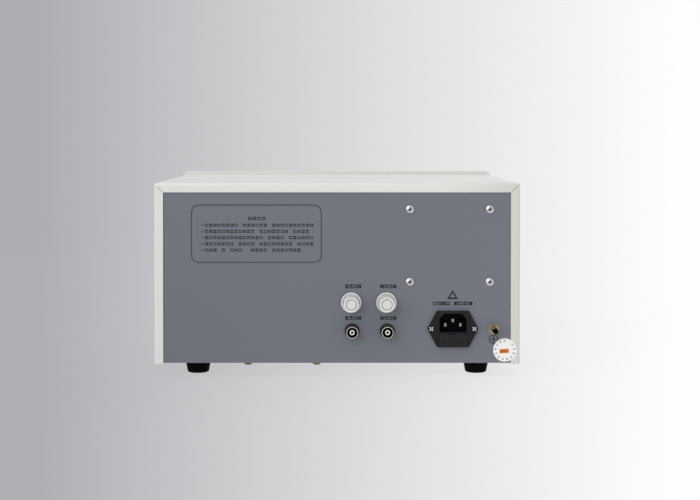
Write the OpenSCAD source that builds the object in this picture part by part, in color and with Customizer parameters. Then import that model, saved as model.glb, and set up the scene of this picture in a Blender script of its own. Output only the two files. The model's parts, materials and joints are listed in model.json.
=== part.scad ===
// Bench hipot tester: a folded sheet-steel case, a recessed rear panel with two gain knobs, two
// coaxial outputs, a fused mains inlet and an earth post, and a front panel with the controls.
// Millimetres. X runs to the right of someone facing the front, Y to the rear and Z up.
// The origin is the middle of the outline, on the surface that the feet stand on.

/* [Case] */
// Width of the cover over its sides
case_w = 340; // [325:1:420]
// Height of the cover from its lower edge to its top
case_h = 168; // [164:1:220]
// Depth of the cover from its front edge to the face of its rear lip
cover_l = 270; // [260:1:340]
// Thickness of the cover's sheet
cover_t = 1.2; // [0.8:0.1:1.6]
// Outside radius of the cover's folded edges
bend_r = 2.5; // [2.2:0.1:5]
// Width of the lip folded in round the rear panel
lip_w = 8.5; // [6:0.5:11]
// Width of the open mitre seam at the corners of the lip
seam_w = 0.4; // [0.2:0.1:0.8]
// How far the cover's lower edge hangs below the base tray
cover_drop = 0.8; // [0.2:0.1:2]
// Gap between sheets that slide together
sheet_gap = 0.3; // [0.1:0.1:0.5]
// Distance between the two cover screws of one side
cover_screw_pitch = 170; // [100:1:220]

/* [Side vents] */
// Width of one vent slot
vent_w = 3; // [2:0.5:3.5]
// Length of one vent slot
vent_l = 44; // [20:1:60]
// Distance from one vent slot to the next
vent_pitch = 8; // [6:0.5:12]
// Number of vent slots in each side
vent_count = 14; // [4:1:18]
// Height of the slots' middle above the cover's lower edge
vent_up = 104; // [85:1:120]

/* [Front bezel] */
// Depth of the bezel
bezel_d = 12; // [10:0.5:20]
// How far the bezel stands above the cover
bezel_rise = 4; // [0:0.5:8]
// Width of the rim round the front panel
bezel_rim = 9; // [7:0.5:12]
// Wall left round the pocket that holds the front panel
bezel_wall = 4.5; // [4:0.5:6]
// Rounding of the bezel's edges
bezel_r = 3; // [1:0.5:5]
// How far the front panel lies behind the bezel's face
panel_recess = 5; // [2:0.5:7]

/* [Panels and base] */
// Thickness of the front and rear panels
panel_t = 1.5; // [1:0.1:2.5]
// Thickness of the base tray's sheet
base_t = 1.5; // [1:0.1:2.5]
// Height of the tray's turned-up edges above its floor
flange_h = 13; // [10:0.5:14]

/* [Feet] */
// Diameter of a foot where it meets the tray
foot_d = 24.5; // [20:0.5:32]
// Diameter of a foot near the ground
foot_tip_d = 20.5; // [18:0.5:24]
// Height of a foot
foot_h = 12.8; // [10:0.1:25]
// Rounding of a foot's lower edge
foot_round = 2; // [2:0.5:4]
// Depth of the screw's well in a foot
foot_well = 6; // [4:0.5:8]
// Distance from the side of the case to a foot's axis
foot_side = 38.3; // [25:0.1:60]
// Distance from the end of the cover to a foot's axis
foot_end = 30; // [20:0.5:60]

/* [Screws] */
// Diameter of the main screws
screw_d = 4; // [3:0.5:5]
// Diameter of the main screws' heads
head_d = 7.2; // [6.5:0.1:9]
// Height of the main screws' heads
head_h = 2.6; // [2:0.1:3.5]
// Width across flats of the main nuts
nut_af = 7; // [6:0.5:8]
// Height of the main nuts
nut_h = 3.2; // [2:0.1:4]
// Radial gap round a screw in a plain hole
hole_gap = 0.2; // [0.1:0.05:0.4]
// Radial gap of a thread, a press fit or a turning shaft
run_gap = 0.05; // [0.02:0.01:0.1]

/* [Rear panel layout, as seen from behind] */
// Distance from the middle of the case to the first column of knob and output
column_u = 14; // [10:0.5:30]
// Distance from the first column to the second
column_pitch = 32.7; // [28:0.1:36]
// How far the gain knobs sit aside of the outputs, towards the middle of the case
knob_shift = 0.8; // [0:0.1:2]
// Height of the gain knobs above the cover's lower edge
knob_up = 57.2; // [52:0.1:75]
// Height of the outputs above the cover's lower edge
socket_up = 30.6; // [26:0.1:36]
// Distance from the side of the case to the inlet's middle
inlet_side = 62.4; // [58:0.1:72]
// Height of the inlet's middle above the cover's lower edge
inlet_up = 32.7; // [31:0.1:50]
// Distance from the side of the case to the earth post
post_side = 24.2; // [20:0.1:30]
// Height of the earth post above the cover's lower edge
post_up = 32.3; // [22:0.1:60]
// Distance from the side of the case to the middle of the signal board
signal_side = 65.2; // [60:0.1:80]
// Distance from the top of the cover down to the signal board's middle
signal_down = 57.9; // [50:0.1:62]
// Distance between the signal board's screws, side to side
signal_screw_w = 74.2; // [60:0.1:90]
// Distance between the signal board's screws, up and down
signal_screw_h = 67.5; // [50:0.1:74]

/* [Gain knobs] */
// Diameter of a gain knob's skirt
gain_d = 18.8; // [17:0.1:24]
// Diameter of its fluted grip
gain_grip_d = 14.6; // [13.6:0.1:15.4]
// Diameter of the disc in its top
gain_cap_d = 8.6; // [6:0.1:10]
// Height of a gain knob
gain_h = 19.4; // [14:0.1:22]
// Gap between a gain knob and the rear panel
gain_gap = 0.8; // [0.4:0.1:2]
// Number of flutes round a gain knob
gain_flutes = 16; // [8:4:20]
// Diameter of a potentiometer's body
pot_d = 17; // [14:0.5:20]
// Length of a potentiometer's body
pot_l = 10; // [8:0.5:20]
// Diameter of a potentiometer's bush
bush_d = 7; // [7:0.5:8]
// Length of the bush outside the panel
bush_l = 4.4; // [3.5:0.1:6]
// Diameter of a potentiometer's shaft
shaft_d = 6; // [4:0.5:6]
// Width across flats of a potentiometer's nut
pot_nut_af = 10; // [9.5:0.5:10.5]
// Height of a potentiometer's nut
pot_nut_h = 2; // [1:0.1:3]

/* [Coaxial outputs] */
// Outside diameter of the output's sleeve
sleeve_d = 11; // [10.6:0.1:11.4]
// Diameter of the sleeve's bore
sleeve_bore = 9.5; // [8.6:0.1:9.6]
// Diameter of the collar behind the sleeve
collar_d = 12.4; // [12:0.1:13.4]
// Length of the collar
collar_l = 2; // [1.5:0.1:4]
// Distance from the panel to the mouth of the sleeve
socket_l = 13; // [11:0.1:18]
// Span over the two bayonet lugs
lug_span = 12.8; // [12.4:0.1:13.4]
// Diameter of a bayonet lug
lug_d = 2; // [1.6:0.1:2.2]
// Distance from the mouth of the sleeve to the lugs
lug_in = 4.8; // [3:0.1:6]
// Diameter of the black insulating washer
washer_d = 13.8; // [13.6:0.1:17]
// Thickness of the black insulating washer
washer_t = 1.6; // [1:0.1:2.5]
// Diameter of the output's threaded shank
shank_d = 9.4; // [8:0.1:9.4]
// Length of the threaded shank inside the case
shank_l = 9; // [7:0.5:15]
// Diameter of the white insulator
insulator_d = 4.5; // [4:0.1:6]
// How far the white insulator lies behind the mouth
insulator_in = 1; // [0.5:0.1:3]
// Diameter of the centre contact
contact_d = 2.4; // [2:0.1:2.6]
// Diameter of the hole in the centre contact
contact_bore = 1.5; // [1:0.1:1.6]
// Width across flats of the output's nut
socket_nut_af = 12; // [11:0.5:14]
// Height of the output's nut
socket_nut_h = 3; // [2:0.1:4]

/* [Mains inlet] */
// Width of the inlet's flange over its rounded tips
inlet_w = 46.6; // [46.4:0.1:50]
// Height of the inlet's flange
inlet_h = 33.5; // [33:0.1:36]
// Width of the inlet's middle block
inlet_block_w = 29.6; // [28.4:0.1:30]
// Distance between the inlet's screws
inlet_screw_gap = 40; // [39:0.1:40.2]
// Thickness of the inlet's flange
inlet_flange_t = 2.5; // [2:0.1:3]
// Distance from the panel to the face of the middle block
inlet_rise = 4; // [3.4:0.1:6]
// Length of the inlet's body behind the panel's face
inlet_l = 18; // [17:0.5:30]
// Width of the inlet's body
inlet_body_w = 27.2; // [27:0.1:27.6]
// Height of the inlet's body
inlet_body_h = 31.2; // [31:0.1:32]
// Width of the plug's cavity
cavity_w = 25.4; // [24:0.1:25.4]
// Height of the plug's cavity
cavity_h = 17.4; // [16:0.1:17.4]
// Chamfer at the upper corners of the cavity
cavity_chamfer = 4.8; // [3:0.1:6]
// Depth of the cavity
cavity_l = 16; // [14:0.5:17]
// Height of the cavity's middle above the inlet's middle
cavity_up = 5.8; // [5.6:0.1:6]
// Thickness of an inlet pin
pin_t = 2; // [1.5:0.1:2.5]
// Width of an inlet pin
pin_w = 4; // [3:0.1:5]
// Distance between the live and neutral pins
pin_gap = 14; // [13:0.1:15]
// Height of the earth pin above the other two
pin_step = 4; // [3:0.1:5]
// How far the pins' tips lie inside the mouth
pin_in = 2.5; // [1:0.1:4]
// Length of the solder tags behind the inlet
tag_l = 8; // [4:0.5:12]
// Diameter of the inlet's screws
inlet_screw_d = 3; // [2.5:0.1:3.5]
// Diameter of the inlet's countersunk heads
inlet_head_d = 5.4; // [5:0.1:5.8]

/* [Fuse drawer] */
// Width of the drawer's front
drawer_w = 25.6; // [25:0.1:25.8]
// Height of the drawer's front
drawer_h = 11.4; // [11:0.1:11.8]
// Thickness of the drawer's front
drawer_t = 2.4; // [2:0.1:2.8]
// How far the drawer's front stands out of the middle block
drawer_proud = 0.8; // [0.2:0.1:1.5]
// Distance from the inlet's middle down to the drawer's middle
drawer_down = 9.6; // [9.5:0.1:9.8]
// Width of the drawer's tray
tray_w = 23.4; // [23:0.1:24]
// Height of the drawer's tray
tray_h = 9; // [8:0.1:9.4]
// Length of the drawer's tray
tray_l = 16.5; // [15.5:0.1:17]
// Diameter of a fuse
fuse_d = 5; // [4.5:0.1:5.2]
// Length of a fuse
fuse_l = 20; // [19:0.1:20.4]
// Gap round the sliding drawer
slide_gap = 0.2; // [0.1:0.05:0.3]

/* [Earth post] */
// Width across flats of the post's hexagon
post_af = 8; // [8:0.1:11]
// Height of the post's hexagon
post_hex_h = 5; // [3:0.1:8]
// Diameter of the stud
stud_d = 5; // [4:0.5:5.5]
// Length of the brass stud beyond the hexagon
stud_l = 7; // [5:0.1:12]
// Length of the black tip on the stud
tip_l = 4.2; // [2:0.1:6]
// Diameter of the post's washer
post_washer_d = 10; // [9.8:0.1:14]
// Thickness of the post's washer
post_washer_t = 1; // [0.5:0.1:2]

/* [Front panel layout] */
// Distance from the left side of the case to the display's middle
display_side = 104; // [100:0.5:108]
// Distance from the top of the cover down to the display's middle
display_down = 40; // [36:0.5:44]
// Distance from the right side of the case to the voltage knob
dial_side = 58; // [54:0.5:58]
// Height of the voltage knob above the cover's lower edge
dial_up = 52; // [48:0.5:54]
// Distance from the middle of the case to the start button
start_u = 8; // [4:0.5:12]
// Distance from the start button to the reset button
button_pitch = 34; // [28:0.5:38]
// Distance from the left side of the case to the high-voltage terminal
terminal_side = 78; // [74:0.5:82]
// Distance from the high-voltage terminal to the return terminal
terminal_pitch = 44; // [36:0.5:50]
// Distance from the left side of the case to the power switch
switch_side = 36; // [32:0.5:44]
// Height of the buttons, terminals and switch above the cover's lower edge
control_up = 46; // [40:0.5:60]
// Distance from the display's window to the first lamp
lamp_gap = 14; // [12:0.5:16]
// Distance from one lamp to the next
lamp_pitch = 16; // [12:0.5:18]
// Number of lamps
lamp_count = 3; // [1:1:3]

/* [Voltage knob and regulating transformer] */
// Diameter of the voltage knob's skirt
dial_d = 44; // [36:0.5:50]
// Diameter of its fluted grip
dial_grip_d = 32; // [28:0.5:34]
// Diameter of the disc in its top
dial_cap_d = 20; // [14:0.5:22]
// Height of the voltage knob
dial_h = 22; // [18:0.5:30]
// Gap between the voltage knob and the front panel
dial_gap = 1; // [0.5:0.1:2]
// Number of flutes round the voltage knob
dial_flutes = 28; // [12:4:36]
// Angle that the voltage knob turns through
dial_turn = 300; // [240:5:320]
// Diameter of the regulating transformer's shaft
drive_d = 8; // [6:0.5:8]
// Diameter of the threaded bush through the front panel
drive_bush_d = 14; // [12:0.5:14]
// Length of the bush outside the panel
drive_bush_l = 5; // [3:0.5:6]
// Diameter of the ring coil
ring_d = 80; // [70:1:84]
// Diameter of the hole in the ring coil
ring_bore = 40; // [34:1:46]
// Length of the ring coil
ring_l = 34; // [24:1:45]
// Rounding of the ring coil's edges
ring_r = 6; // [3:0.5:8]
// Thickness of the coil's carrier plate
carrier_t = 3; // [2:0.5:5]
// Distance from the front panel to the carrier plate
carrier_gap = 8; // [6:0.5:12]
// Thickness of the brush arm
brush_t = 4; // [3:0.5:6]
// Gap between the brush and the ring coil
brush_gap = 0.3; // [0.2:0.1:0.5]

/* [Front controls] */
// Width of the display's window
window_w = 156; // [150:1:160]
// Height of the display's window
window_h = 40; // [34:0.5:41]
// Thickness of the window's rim behind the panel
window_rim_t = 1.5; // [1:0.1:2]
// Width of the window's rim behind the panel
window_rim = 2.5; // [1.5:0.1:3]
// How far the window stands out of the panel
window_proud = 0.6; // [0:0.1:2]
// Gap round the window
window_gap = 0.2; // [0.1:0.05:0.3]
// Distance from the front panel to the display board
display_gap = 12; // [10:0.5:14]
// Thickness of the circuit boards
board_t = 1.6; // [1:0.1:2]
// Diameter of a lamp
lamp_d = 5; // [3:0.5:6]
// Diameter of a push button's cap
button_d = 13; // [10:0.5:14]
// Distance from the panel to the top of a push button's cap
button_h = 6.5; // [6:0.1:9]
// Travel of a push button
button_travel = 2.5; // [1.5:0.1:3]
// Diameter of a push button's ring
button_ring_d = 22; // [20.5:0.5:26]
// Thickness of a push button's ring
button_ring_t = 2.5; // [1.5:0.1:3]
// Diameter of a terminal's flange
terminal_d = 28; // [24:0.5:32]
// Diameter of a terminal's post
terminal_post_d = 18; // [15:0.5:20]
// Distance from the panel to the end of a terminal
terminal_l = 20; // [16:0.5:22]
// Bore of a terminal's plug socket
plug_d = 4.1; // [4:0.05:4.2]
// Depth of a terminal's plug socket
plug_l = 16; // [12:0.5:18]
// Width of the power switch's frame
switch_w = 15; // [14.5:0.1:18]
// Height of the power switch's frame
switch_h = 21.4; // [21:0.1:25]
// Tilt of the rocker to each side
rocker_tilt = 10; // [6:0.5:12]

/* [High-voltage transformer] */
// Distance from the middle of the case to the transformer's middle
trafo_x = 51; // [46:0.5:56]
// Distance between the transformer's screws, side to side
trafo_screw_w = 64; // [56:0.5:72]
// Width of the core
core_w = 84; // [82:0.5:100]
// Height of the core
core_h = 72; // [60:0.5:90]
// Depth of the core's stack
core_l = 50; // [40:0.5:70]
// Width of the core's outer legs and yokes
core_leg = 14; // [12:0.5:15]
// How far the winding stands out of the core at each end
coil_over = 11; // [6:0.5:12]
// Width of a bracket's foot
bracket_foot = 16; // [14:0.5:20]
// Thickness of a bracket
bracket_t = 2; // [1.5:0.1:3]
// Distance from the core to the screws
trafo_screw_in = 11.5; // [8:0.5:12]

/* [Circuit boards] */
// Distance from the rear panel to the signal board
signal_gap = 10; // [8:0.5:14]
// Margin of the signal board outside its screws
signal_margin = 7; // [5:0.5:8]
// Width across flats of the signal board's pillars
pillar_af = 7; // [6:0.5:8]
// Width of the control board
control_w = 110; // [100:1:115]
// Length of the control board
control_l = 120; // [100:1:140]
// Distance from the front panel to the control board's front edge
control_front = 48; // [45:1:60]
// Distance from the side of the case to the control board
control_side = 16; // [8:1:18]
// Height of the control board above the tray's floor
control_lift = 8; // [5:0.5:12]
// Diameter of a board's pillars
post_d = 6; // [5:0.5:7]

/* [Hidden] */
$fn = 64;
// How far a cutting solid runs past the face that it opens
cut = 1;
// Small chamfer on turned and moulded edges
edge = 0.5;

cream = [0.86, 0.855, 0.83];
slate = [0.44, 0.46, 0.49];
black = [0.1, 0.1, 0.11];
rubber = [0.06, 0.06, 0.07];
nickel = [0.72, 0.71, 0.68];
zinc = [0.68, 0.69, 0.7];
yellow_zinc = [0.75, 0.62, 0.35];
brass = [0.76, 0.62, 0.34];
white = [0.93, 0.93, 0.92];
board_green = [0.1, 0.32, 0.2];
copper = [0.62, 0.36, 0.2];
steel = [0.4, 0.41, 0.43];
smoke = [0.16, 0.05, 0.05];

// Heights
z_base = foot_h;
z_floor = z_base + base_t;
z_low = z_base - cover_drop;
z_top = z_low + case_h;
bezel_h = case_h + bezel_rise;
bezel_mid = z_low + bezel_h / 2;

// Depths, with the outline's middle at zero
post_top = post_washer_t + post_hex_h + stud_l;
post_tail = -panel_t - 1.5 * nut_h;
rear_reach = max(gain_gap + gain_h, socket_l, post_top + tip_l, inlet_rise + drawer_proud) - cover_t;
front_reach = max(dial_gap + dial_h, terminal_l, button_h) - panel_recess;
outline_l = front_reach + bezel_d + cover_l + rear_reach;
y_lip = outline_l / 2 - rear_reach;
y_cover = y_lip - cover_l;
y_bezel = y_cover - bezel_d;
y_rear = y_lip - cover_t;
y_rear_in = y_rear - panel_t;
y_front = y_bezel + panel_recess;
y_front_in = y_front + panel_t;
y_mid = (y_cover + y_lip) / 2;

// Sheets inside the cover
inner_w = case_w - 2 * (cover_t + sheet_gap);
rear_panel_h = z_top - cover_t - sheet_gap - z_base;
inner_r = bend_r - cover_t - sheet_gap;
tray_len = y_rear_in - y_cover;
front_panel_w = case_w - 2 * (bezel_wall + sheet_gap);
front_panel_h = bezel_h - 2 * (bezel_wall + sheet_gap);
screw_len = 10;
cover_screw_z = z_floor + flange_h / 2;

// Places on the rear panel
columns = [column_u, column_u + column_pitch];
knob_columns = [for (u = columns) u - knob_shift];
knob_v = z_low + knob_up;
socket_v = z_low + socket_up;
inlet_u = case_w / 2 - inlet_side;
inlet_v = z_low + inlet_up;
post_u = case_w / 2 - post_side;
post_v = z_low + post_up;
signal_u = case_w / 2 - signal_side;
signal_v = z_top - signal_down;

// Gain knobs and potentiometers
knob_rim = 1.2;
knob_dish = 0.8;
knob_groove = 0.9;
knob_groove_h = 1.2;
index_w = 0.5;
index_h = 0.8;
gain_skirt_h = 3;
nut_room = 0.6;
bush_room = 0.8;
gain_hollow_d = pot_nut_af / cos(30) + nut_room;
gain_hollow_h = bush_l - gain_gap + bush_room;
gain_top_t = 3;
gain_bore_h = gain_h - gain_top_t;
pot_floor = 1.5;
pot_lug_w = 2;
pot_lug_l = 4;
pot_lug_t = 0.8;

// Coaxial outputs
collar_top = washer_t + collar_l;
cavity_z = collar_top - 1;
lug_z = socket_l - lug_in;

// Mains inlet
tip_r = (inlet_w - inlet_screw_gap) / 2;
block_corner = [inlet_block_w / 2, inlet_h / 2];
tip_touch = tangent_point(block_corner, [inlet_screw_gap / 2, 0], tip_r);
inlet_pins_at = [[-pin_gap / 2, -pin_step / 2], [0, pin_step / 2], [pin_gap / 2, -pin_step / 2]];
drawer_seat = inlet_rise + drawer_proud - drawer_t;
pocket_l = fuse_l + 0.4;
pocket_w = fuse_d + 0.3;
pocket_wall = 1.2;
tray_floor = 1.3;
inlet_sink = 1.7;
drawer_dish = 0.6;

// Voltage knob and regulating transformer
dial_u = case_w / 2 - dial_side;
dial_v = z_low + dial_up;
dial_nut_wall = 2.5;
dial_nut_af = drive_bush_d + 2 * dial_nut_wall;
dial_nut_h = 3;
dial_hollow_d = dial_nut_af / cos(30) + 1;
dial_hollow_h = drive_bush_l + 0.6;
dial_skirt_h = 4;
dial_top_t = 4;
dial_bore_h = dial_h - dial_top_t;
carrier_z = -panel_t - carrier_gap - carrier_t;
ring_z = carrier_z - ring_l;
brush_z = ring_z - brush_gap - brush_t;
brush_r = (ring_d + ring_bore) / 4;

// Front controls
control_v = z_low + control_up;
display_u = -case_w / 2 + display_side;
display_v = z_top - display_down;
terminal_u = -case_w / 2 + terminal_side;
switch_u = -case_w / 2 + switch_side;
lamp_u = display_u + window_w / 2 + lamp_gap;
board_margin = 11;
pillar_in = 4;
display_left = display_u - window_w / 2 - board_margin;
display_right = lamp_u + (lamp_count - 1) * lamp_pitch + board_margin;
display_board_w = display_right - display_left;
display_board_h = window_h + 2 * board_margin;
display_board_u = (display_left + display_right) / 2;
module_gap = 0.6;
module_w = window_w * 0.295;
module_h = window_h * 0.65;
lamp_flange = 0.6;
lamp_proud = 1;
guide_gap = 0.3;
button_foot = 2;
button_guide = 8;
button_body_wall = 1.6;
button_chamber_gap = 1.5;
button_chamber_d = button_d + 2 * button_chamber_gap;
button_body_d = button_chamber_d + 2 * button_body_wall;
button_floor = button_guide + button_foot + button_travel + 1.5;
button_body_l = button_floor + 4;
terminal_flange_t = 4;
terminal_shank_d = 14;
terminal_shank_l = 18;
terminal_nut_af = 19;
terminal_nut_h = 5;
contact_wall = 1;
contact_in = 1.5;
contact_flange = 1;
contact_flange_t = 2;
contact_tail_l = 6;
switch_frame_t = 2;
switch_wall = 1.2;
switch_tag_w = 6;
switch_tag_t = 0.8;
switch_body_w = switch_w - 2.2;
switch_body_h = switch_h - 2.4;
switch_l = 16;
rocker_gap = 0.2;
rocker_w = switch_body_w - 2 * (switch_wall + rocker_gap);
rocker_r = switch_body_h / 2 - switch_wall - rocker_gap;
rocker_pivot = 0.5;
rocker_pin_d = 2.4;
rocker_pin_l = 0.9;
rocker_span = rocker_w + 2 * (rocker_gap + rocker_pin_l);
rocker_crown = 2.2;
rocker_depth = 6;

// Transformer
y_core = y_rear_in - base_t - sheet_gap - bracket_foot;
window_core_w = (core_w - 4 * core_leg) / 2;
window_core_h = core_h - 2 * core_leg;
winding_gap = 0.5;
trafo_screw_y = [y_core + trafo_screw_in, y_core - core_l - trafo_screw_in];

// Circuit boards
signal_w = signal_screw_w + 2 * signal_margin;
signal_h = signal_screw_h + 2 * signal_margin;
control_x = -inner_w / 2 + control_side;
control_y = y_front_in + control_front;
control_z = z_floor + control_lift;
relay_w = 14;
relay_l = 22;
relay_h = 16;
small_cap_d = 13;
small_cap_h = 20;
large_cap_d = 18;
large_cap_h = 30;
supply_w = 38;
supply_l = 44;
supply_h = 32;
sink_h = 24;
sink_depth = 12;
sink_fins = 7;

// Point where a line from point c touches the outer side of a circle round p
function tangent_point(c, p, r) =
    let (d = p - c, l = norm(d), a = atan2(d.y, d.x) + asin(r / l))
    c + sqrt(l * l - r * r) * [cos(a), sin(a)];

// Puts a piece on the rear panel: its x runs right and its y up as seen from behind, its z outwards
module at_rear(u, v) {
    translate([-u, y_rear, v]) rotate([90, 0, 180]) children();
}

// Puts a piece on the front panel: its x runs right and its y up as seen in front, its z outwards
module at_front(u, v) {
    translate([u, y_front, v]) rotate([90, 0, 0]) children();
}

// Stretches an outline drawn in X and Z along Y
module along_y(from, to) {
    translate([0, to, 0]) rotate([90, 0, 0]) linear_extrude(to - from) children();
}

// Stretches an outline drawn in Y and Z along X
module along_x(from, to) {
    translate([from, 0, 0]) rotate([90, 0, 90]) linear_extrude(to - from) children();
}

// Places children at the four corners of a rectangle
module at_corners(w, h) {
    for (sx = [-1, 1], sy = [-1, 1]) translate([sx * w / 2, sy * h / 2]) children();
}

// Rectangle round the middle with rounded corners
module rounded_rect(w, h, r) {
    square([w - 2 * r, h], center = true);
    square([w, h - 2 * r], center = true);
    at_corners(w - 2 * r, h - 2 * r) circle(r = r);
}

// Upright outline standing on its base line, with its two upper corners rounded
module arch(w, h, r) {
    translate([-w / 2, 0]) square([w, h - r]);
    translate([-w / 2 + r, 0]) square([w - 2 * r, h]);
    for (s = [-1, 1]) translate([s * (w / 2 - r), h - r]) circle(r = r);
}

// Upright slot with round ends
module slot(l, w) {
    square([w, l - w], center = true);
    for (s = [-1, 1]) translate([0, s * (l - w) / 2]) circle(d = w);
}

// Drill for a hole through a sheet whose face is at zero and that lies below it
module drill(d, depth) {
    translate([0, 0, -depth - cut]) cylinder(d = d, h = depth + 2 * cut);
}

// Hexagonal nut standing on zero
module hex_nut(af, h, bore) {
    difference() {
        cylinder(d = af / cos(30), h = h, $fn = 6);
        translate([0, 0, h]) drill(bore, h);
    }
}

// Screw with a domed head standing on zero, a cross recess and its shank below
module pan_screw(d, l, hd, hh) {
    dome_r = hd * 0.85;
    difference() {
        union() {
            intersection() {
                cylinder(d = hd, h = hh);
                translate([0, 0, hh - dome_r]) sphere(r = dome_r);
            }
            translate([0, 0, -l]) cylinder(d = d, h = l + hh / 4);
        }
        rotate(45) cross_recess(hd * 0.6, hd * 0.18, hh * 0.6, hh);
    }
}

// Cross-shaped recess that opens upwards at height z
module cross_recess(l, w, depth, z) {
    for (a = [45, 135]) {
        rotate(a) translate([-l / 2, -w / 2, z - depth]) cube([l, w, depth + cut]);
    }
}

// Skirted knob with a fluted grip, standing on zero with its index at +Y
module knob(d, grip_d, cap_d, h, skirt_h, hollow_d, hollow_h, bore_d, bore_h, flutes) {
    flute_d = PI * grip_d / flutes * 0.72;
    dish_z = skirt_h - knob_dish;
    cap_edge = cap_d / 2 + knob_groove;
    difference() {
        rotate_extrude() polygon([
            [hollow_d / 2, 0], [d / 2 - edge, 0], [d / 2, edge], [d / 2, skirt_h - edge],
            [d / 2 - edge, skirt_h], [d / 2 - knob_rim, skirt_h], [d / 2 - knob_rim, dish_z],
            [grip_d / 2, dish_z], [grip_d / 2, h - edge], [grip_d / 2 - edge, h], [cap_edge, h],
            [cap_edge, h - knob_groove_h], [cap_d / 2, h - knob_groove_h], [cap_d / 2, h],
            [0, h], [0, bore_h], [bore_d / 2, bore_h], [bore_d / 2, hollow_h],
            [hollow_d / 2, hollow_h]]);
        for (i = [0 : flutes - 1]) {
            rotate((i + 0.5) * 360 / flutes) translate([0, grip_d / 2 + flute_d * 0.1, skirt_h])
                cylinder(d = flute_d, h = h);
        }
        translate([-index_w / 2, cap_edge + edge, h - index_h]) cube([index_w, d, index_h + cut]);
    }
}

// Folded cover: top, two sides and a rear lip, with round bends, mitre seams, vents and screw holes
module wrap_cover() {
    color(cream) difference() {
        intersection() {
            along_y(y_cover, y_lip) translate([0, z_low]) arch(case_w, case_h, bend_r);
            translate([0, y_cover, z_low]) linear_extrude(case_h) arch(case_w, cover_l, bend_r);
            along_x(-case_w / 2, case_w / 2) rear_rounded();
        }
        along_y(y_cover - cut, y_lip - cover_t) translate([0, z_low - cut])
            arch(case_w - 2 * cover_t, case_h - cover_t + cut, bend_r - cover_t);
        along_y(y_lip - cover_t - cut, y_lip + cut) {
            translate([-case_w / 2 + lip_w, z_low - cut])
                square([case_w - 2 * lip_w, case_h - lip_w + cut]);
            for (s = [0, 1]) mirror([s, 0]) translate([case_w / 2 - lip_w, z_top - lip_w]) rotate(45)
                translate([-cut, -seam_w / 2]) square([(lip_w - bend_r) * sqrt(2) + cut, seam_w]);
        }
        along_x(-case_w, case_w) for (i = [0 : vent_count - 1])
            translate([y_mid + (i - (vent_count - 1) / 2) * vent_pitch, z_low + vent_up])
                slot(vent_l, vent_w);
        at_cover_screws() drill(screw_d + 2 * hole_gap, cover_t);
    }
}

// Side view of the cover with its upper rear edge rounded
module rear_rounded() {
    translate([y_cover, z_low]) square([cover_l, case_h - bend_r]);
    translate([y_cover, z_low]) square([cover_l - bend_r, case_h]);
    translate([y_lip - bend_r, z_top - bend_r]) circle(r = bend_r);
}

// Places children on the outside of the cover's sides, at its screws
module at_cover_screws() {
    for (s = [-1, 1], t = [-1, 1])
        translate([s * case_w / 2, y_mid + t * cover_screw_pitch / 2, cover_screw_z])
            rotate([0, s * 90, 0]) children();
}

module cover_screws() {
    color(zinc) at_cover_screws() pan_screw(screw_d, screw_len, head_d, head_h);
}

// Base tray: a floor with four turned-up edges, round bends and the holes for feet and transformer
module base_tray() {
    color(zinc) difference() {
        intersection() {
            along_y(y_cover, y_rear_in) translate([0, z_floor + flange_h]) mirror([0, 1])
                arch(inner_w, base_t + flange_h, 2 * base_t);
            along_x(-inner_w / 2, inner_w / 2) translate([y_cover + tray_len / 2, z_floor + flange_h])
                mirror([0, 1]) arch(tray_len, base_t + flange_h, 2 * base_t);
        }
        translate([-inner_w / 2 + base_t, y_cover + base_t, z_floor])
            cube([inner_w - 2 * base_t, tray_len - 2 * base_t, flange_h + cut]);
        at_cover_screws() drill(screw_d + 2 * run_gap, screw_len);
        at_feet() translate([0, 0, z_floor]) drill(screw_d + 2 * run_gap, base_t);
        at_trafo_screws() translate([0, 0, z_floor]) drill(screw_d + 2 * hole_gap, base_t);
    }
}

// Rear panel with its openings
module rear_panel() {
    color(slate) difference() {
        at_rear(0, z_base) translate([0, 0, -panel_t]) linear_extrude(panel_t)
            arch(inner_w, rear_panel_h, inner_r);
        at_rear(signal_u, signal_v) at_corners(signal_screw_w, signal_screw_h)
            drill(screw_d + 2 * hole_gap, panel_t);
        for (u = knob_columns) at_rear(u, knob_v) drill(bush_d + 2 * hole_gap, panel_t);
        for (u = columns) at_rear(u, socket_v) drill(shank_d + 2 * hole_gap, panel_t);
        at_rear(inlet_u, inlet_v) {
            translate([0, 0, -panel_t - cut]) linear_extrude(panel_t + 2 * cut)
                square([inlet_body_w + 2 * hole_gap, inlet_body_h + 2 * hole_gap], center = true);
            for (s = [-1, 1]) translate([s * inlet_screw_gap / 2, 0])
                drill(inlet_screw_d + 2 * run_gap, panel_t);
        }
        at_rear(post_u, post_v) drill(stud_d + 2 * hole_gap, panel_t);
    }
}

// Front bezel: a rounded frame with a pocket behind its rim for the front panel
module front_bezel() {
    color(cream) difference() {
        intersection() {
            along_y(y_bezel, y_cover) translate([0, bezel_mid]) rounded_rect(case_w, bezel_h, bezel_r);
            translate([0, y_cover, z_low]) mirror([0, 1]) linear_extrude(bezel_h)
                arch(case_w, bezel_d, bezel_r);
            translate([0, y_cover, bezel_mid]) rotate([0, -90, 0]) mirror([0, 1])
                translate([0, 0, -case_w / 2]) linear_extrude(case_w) arch(bezel_h, bezel_d, bezel_r);
        }
        along_y(y_bezel - cut, y_front + cut) translate([0, bezel_mid])
            rounded_rect(case_w - 2 * bezel_rim, bezel_h - 2 * bezel_rim, bezel_r);
        along_y(y_front, y_cover + cut) translate([0, bezel_mid])
            square([case_w - 2 * bezel_wall, bezel_h - 2 * bezel_wall], center = true);
    }
}

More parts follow.
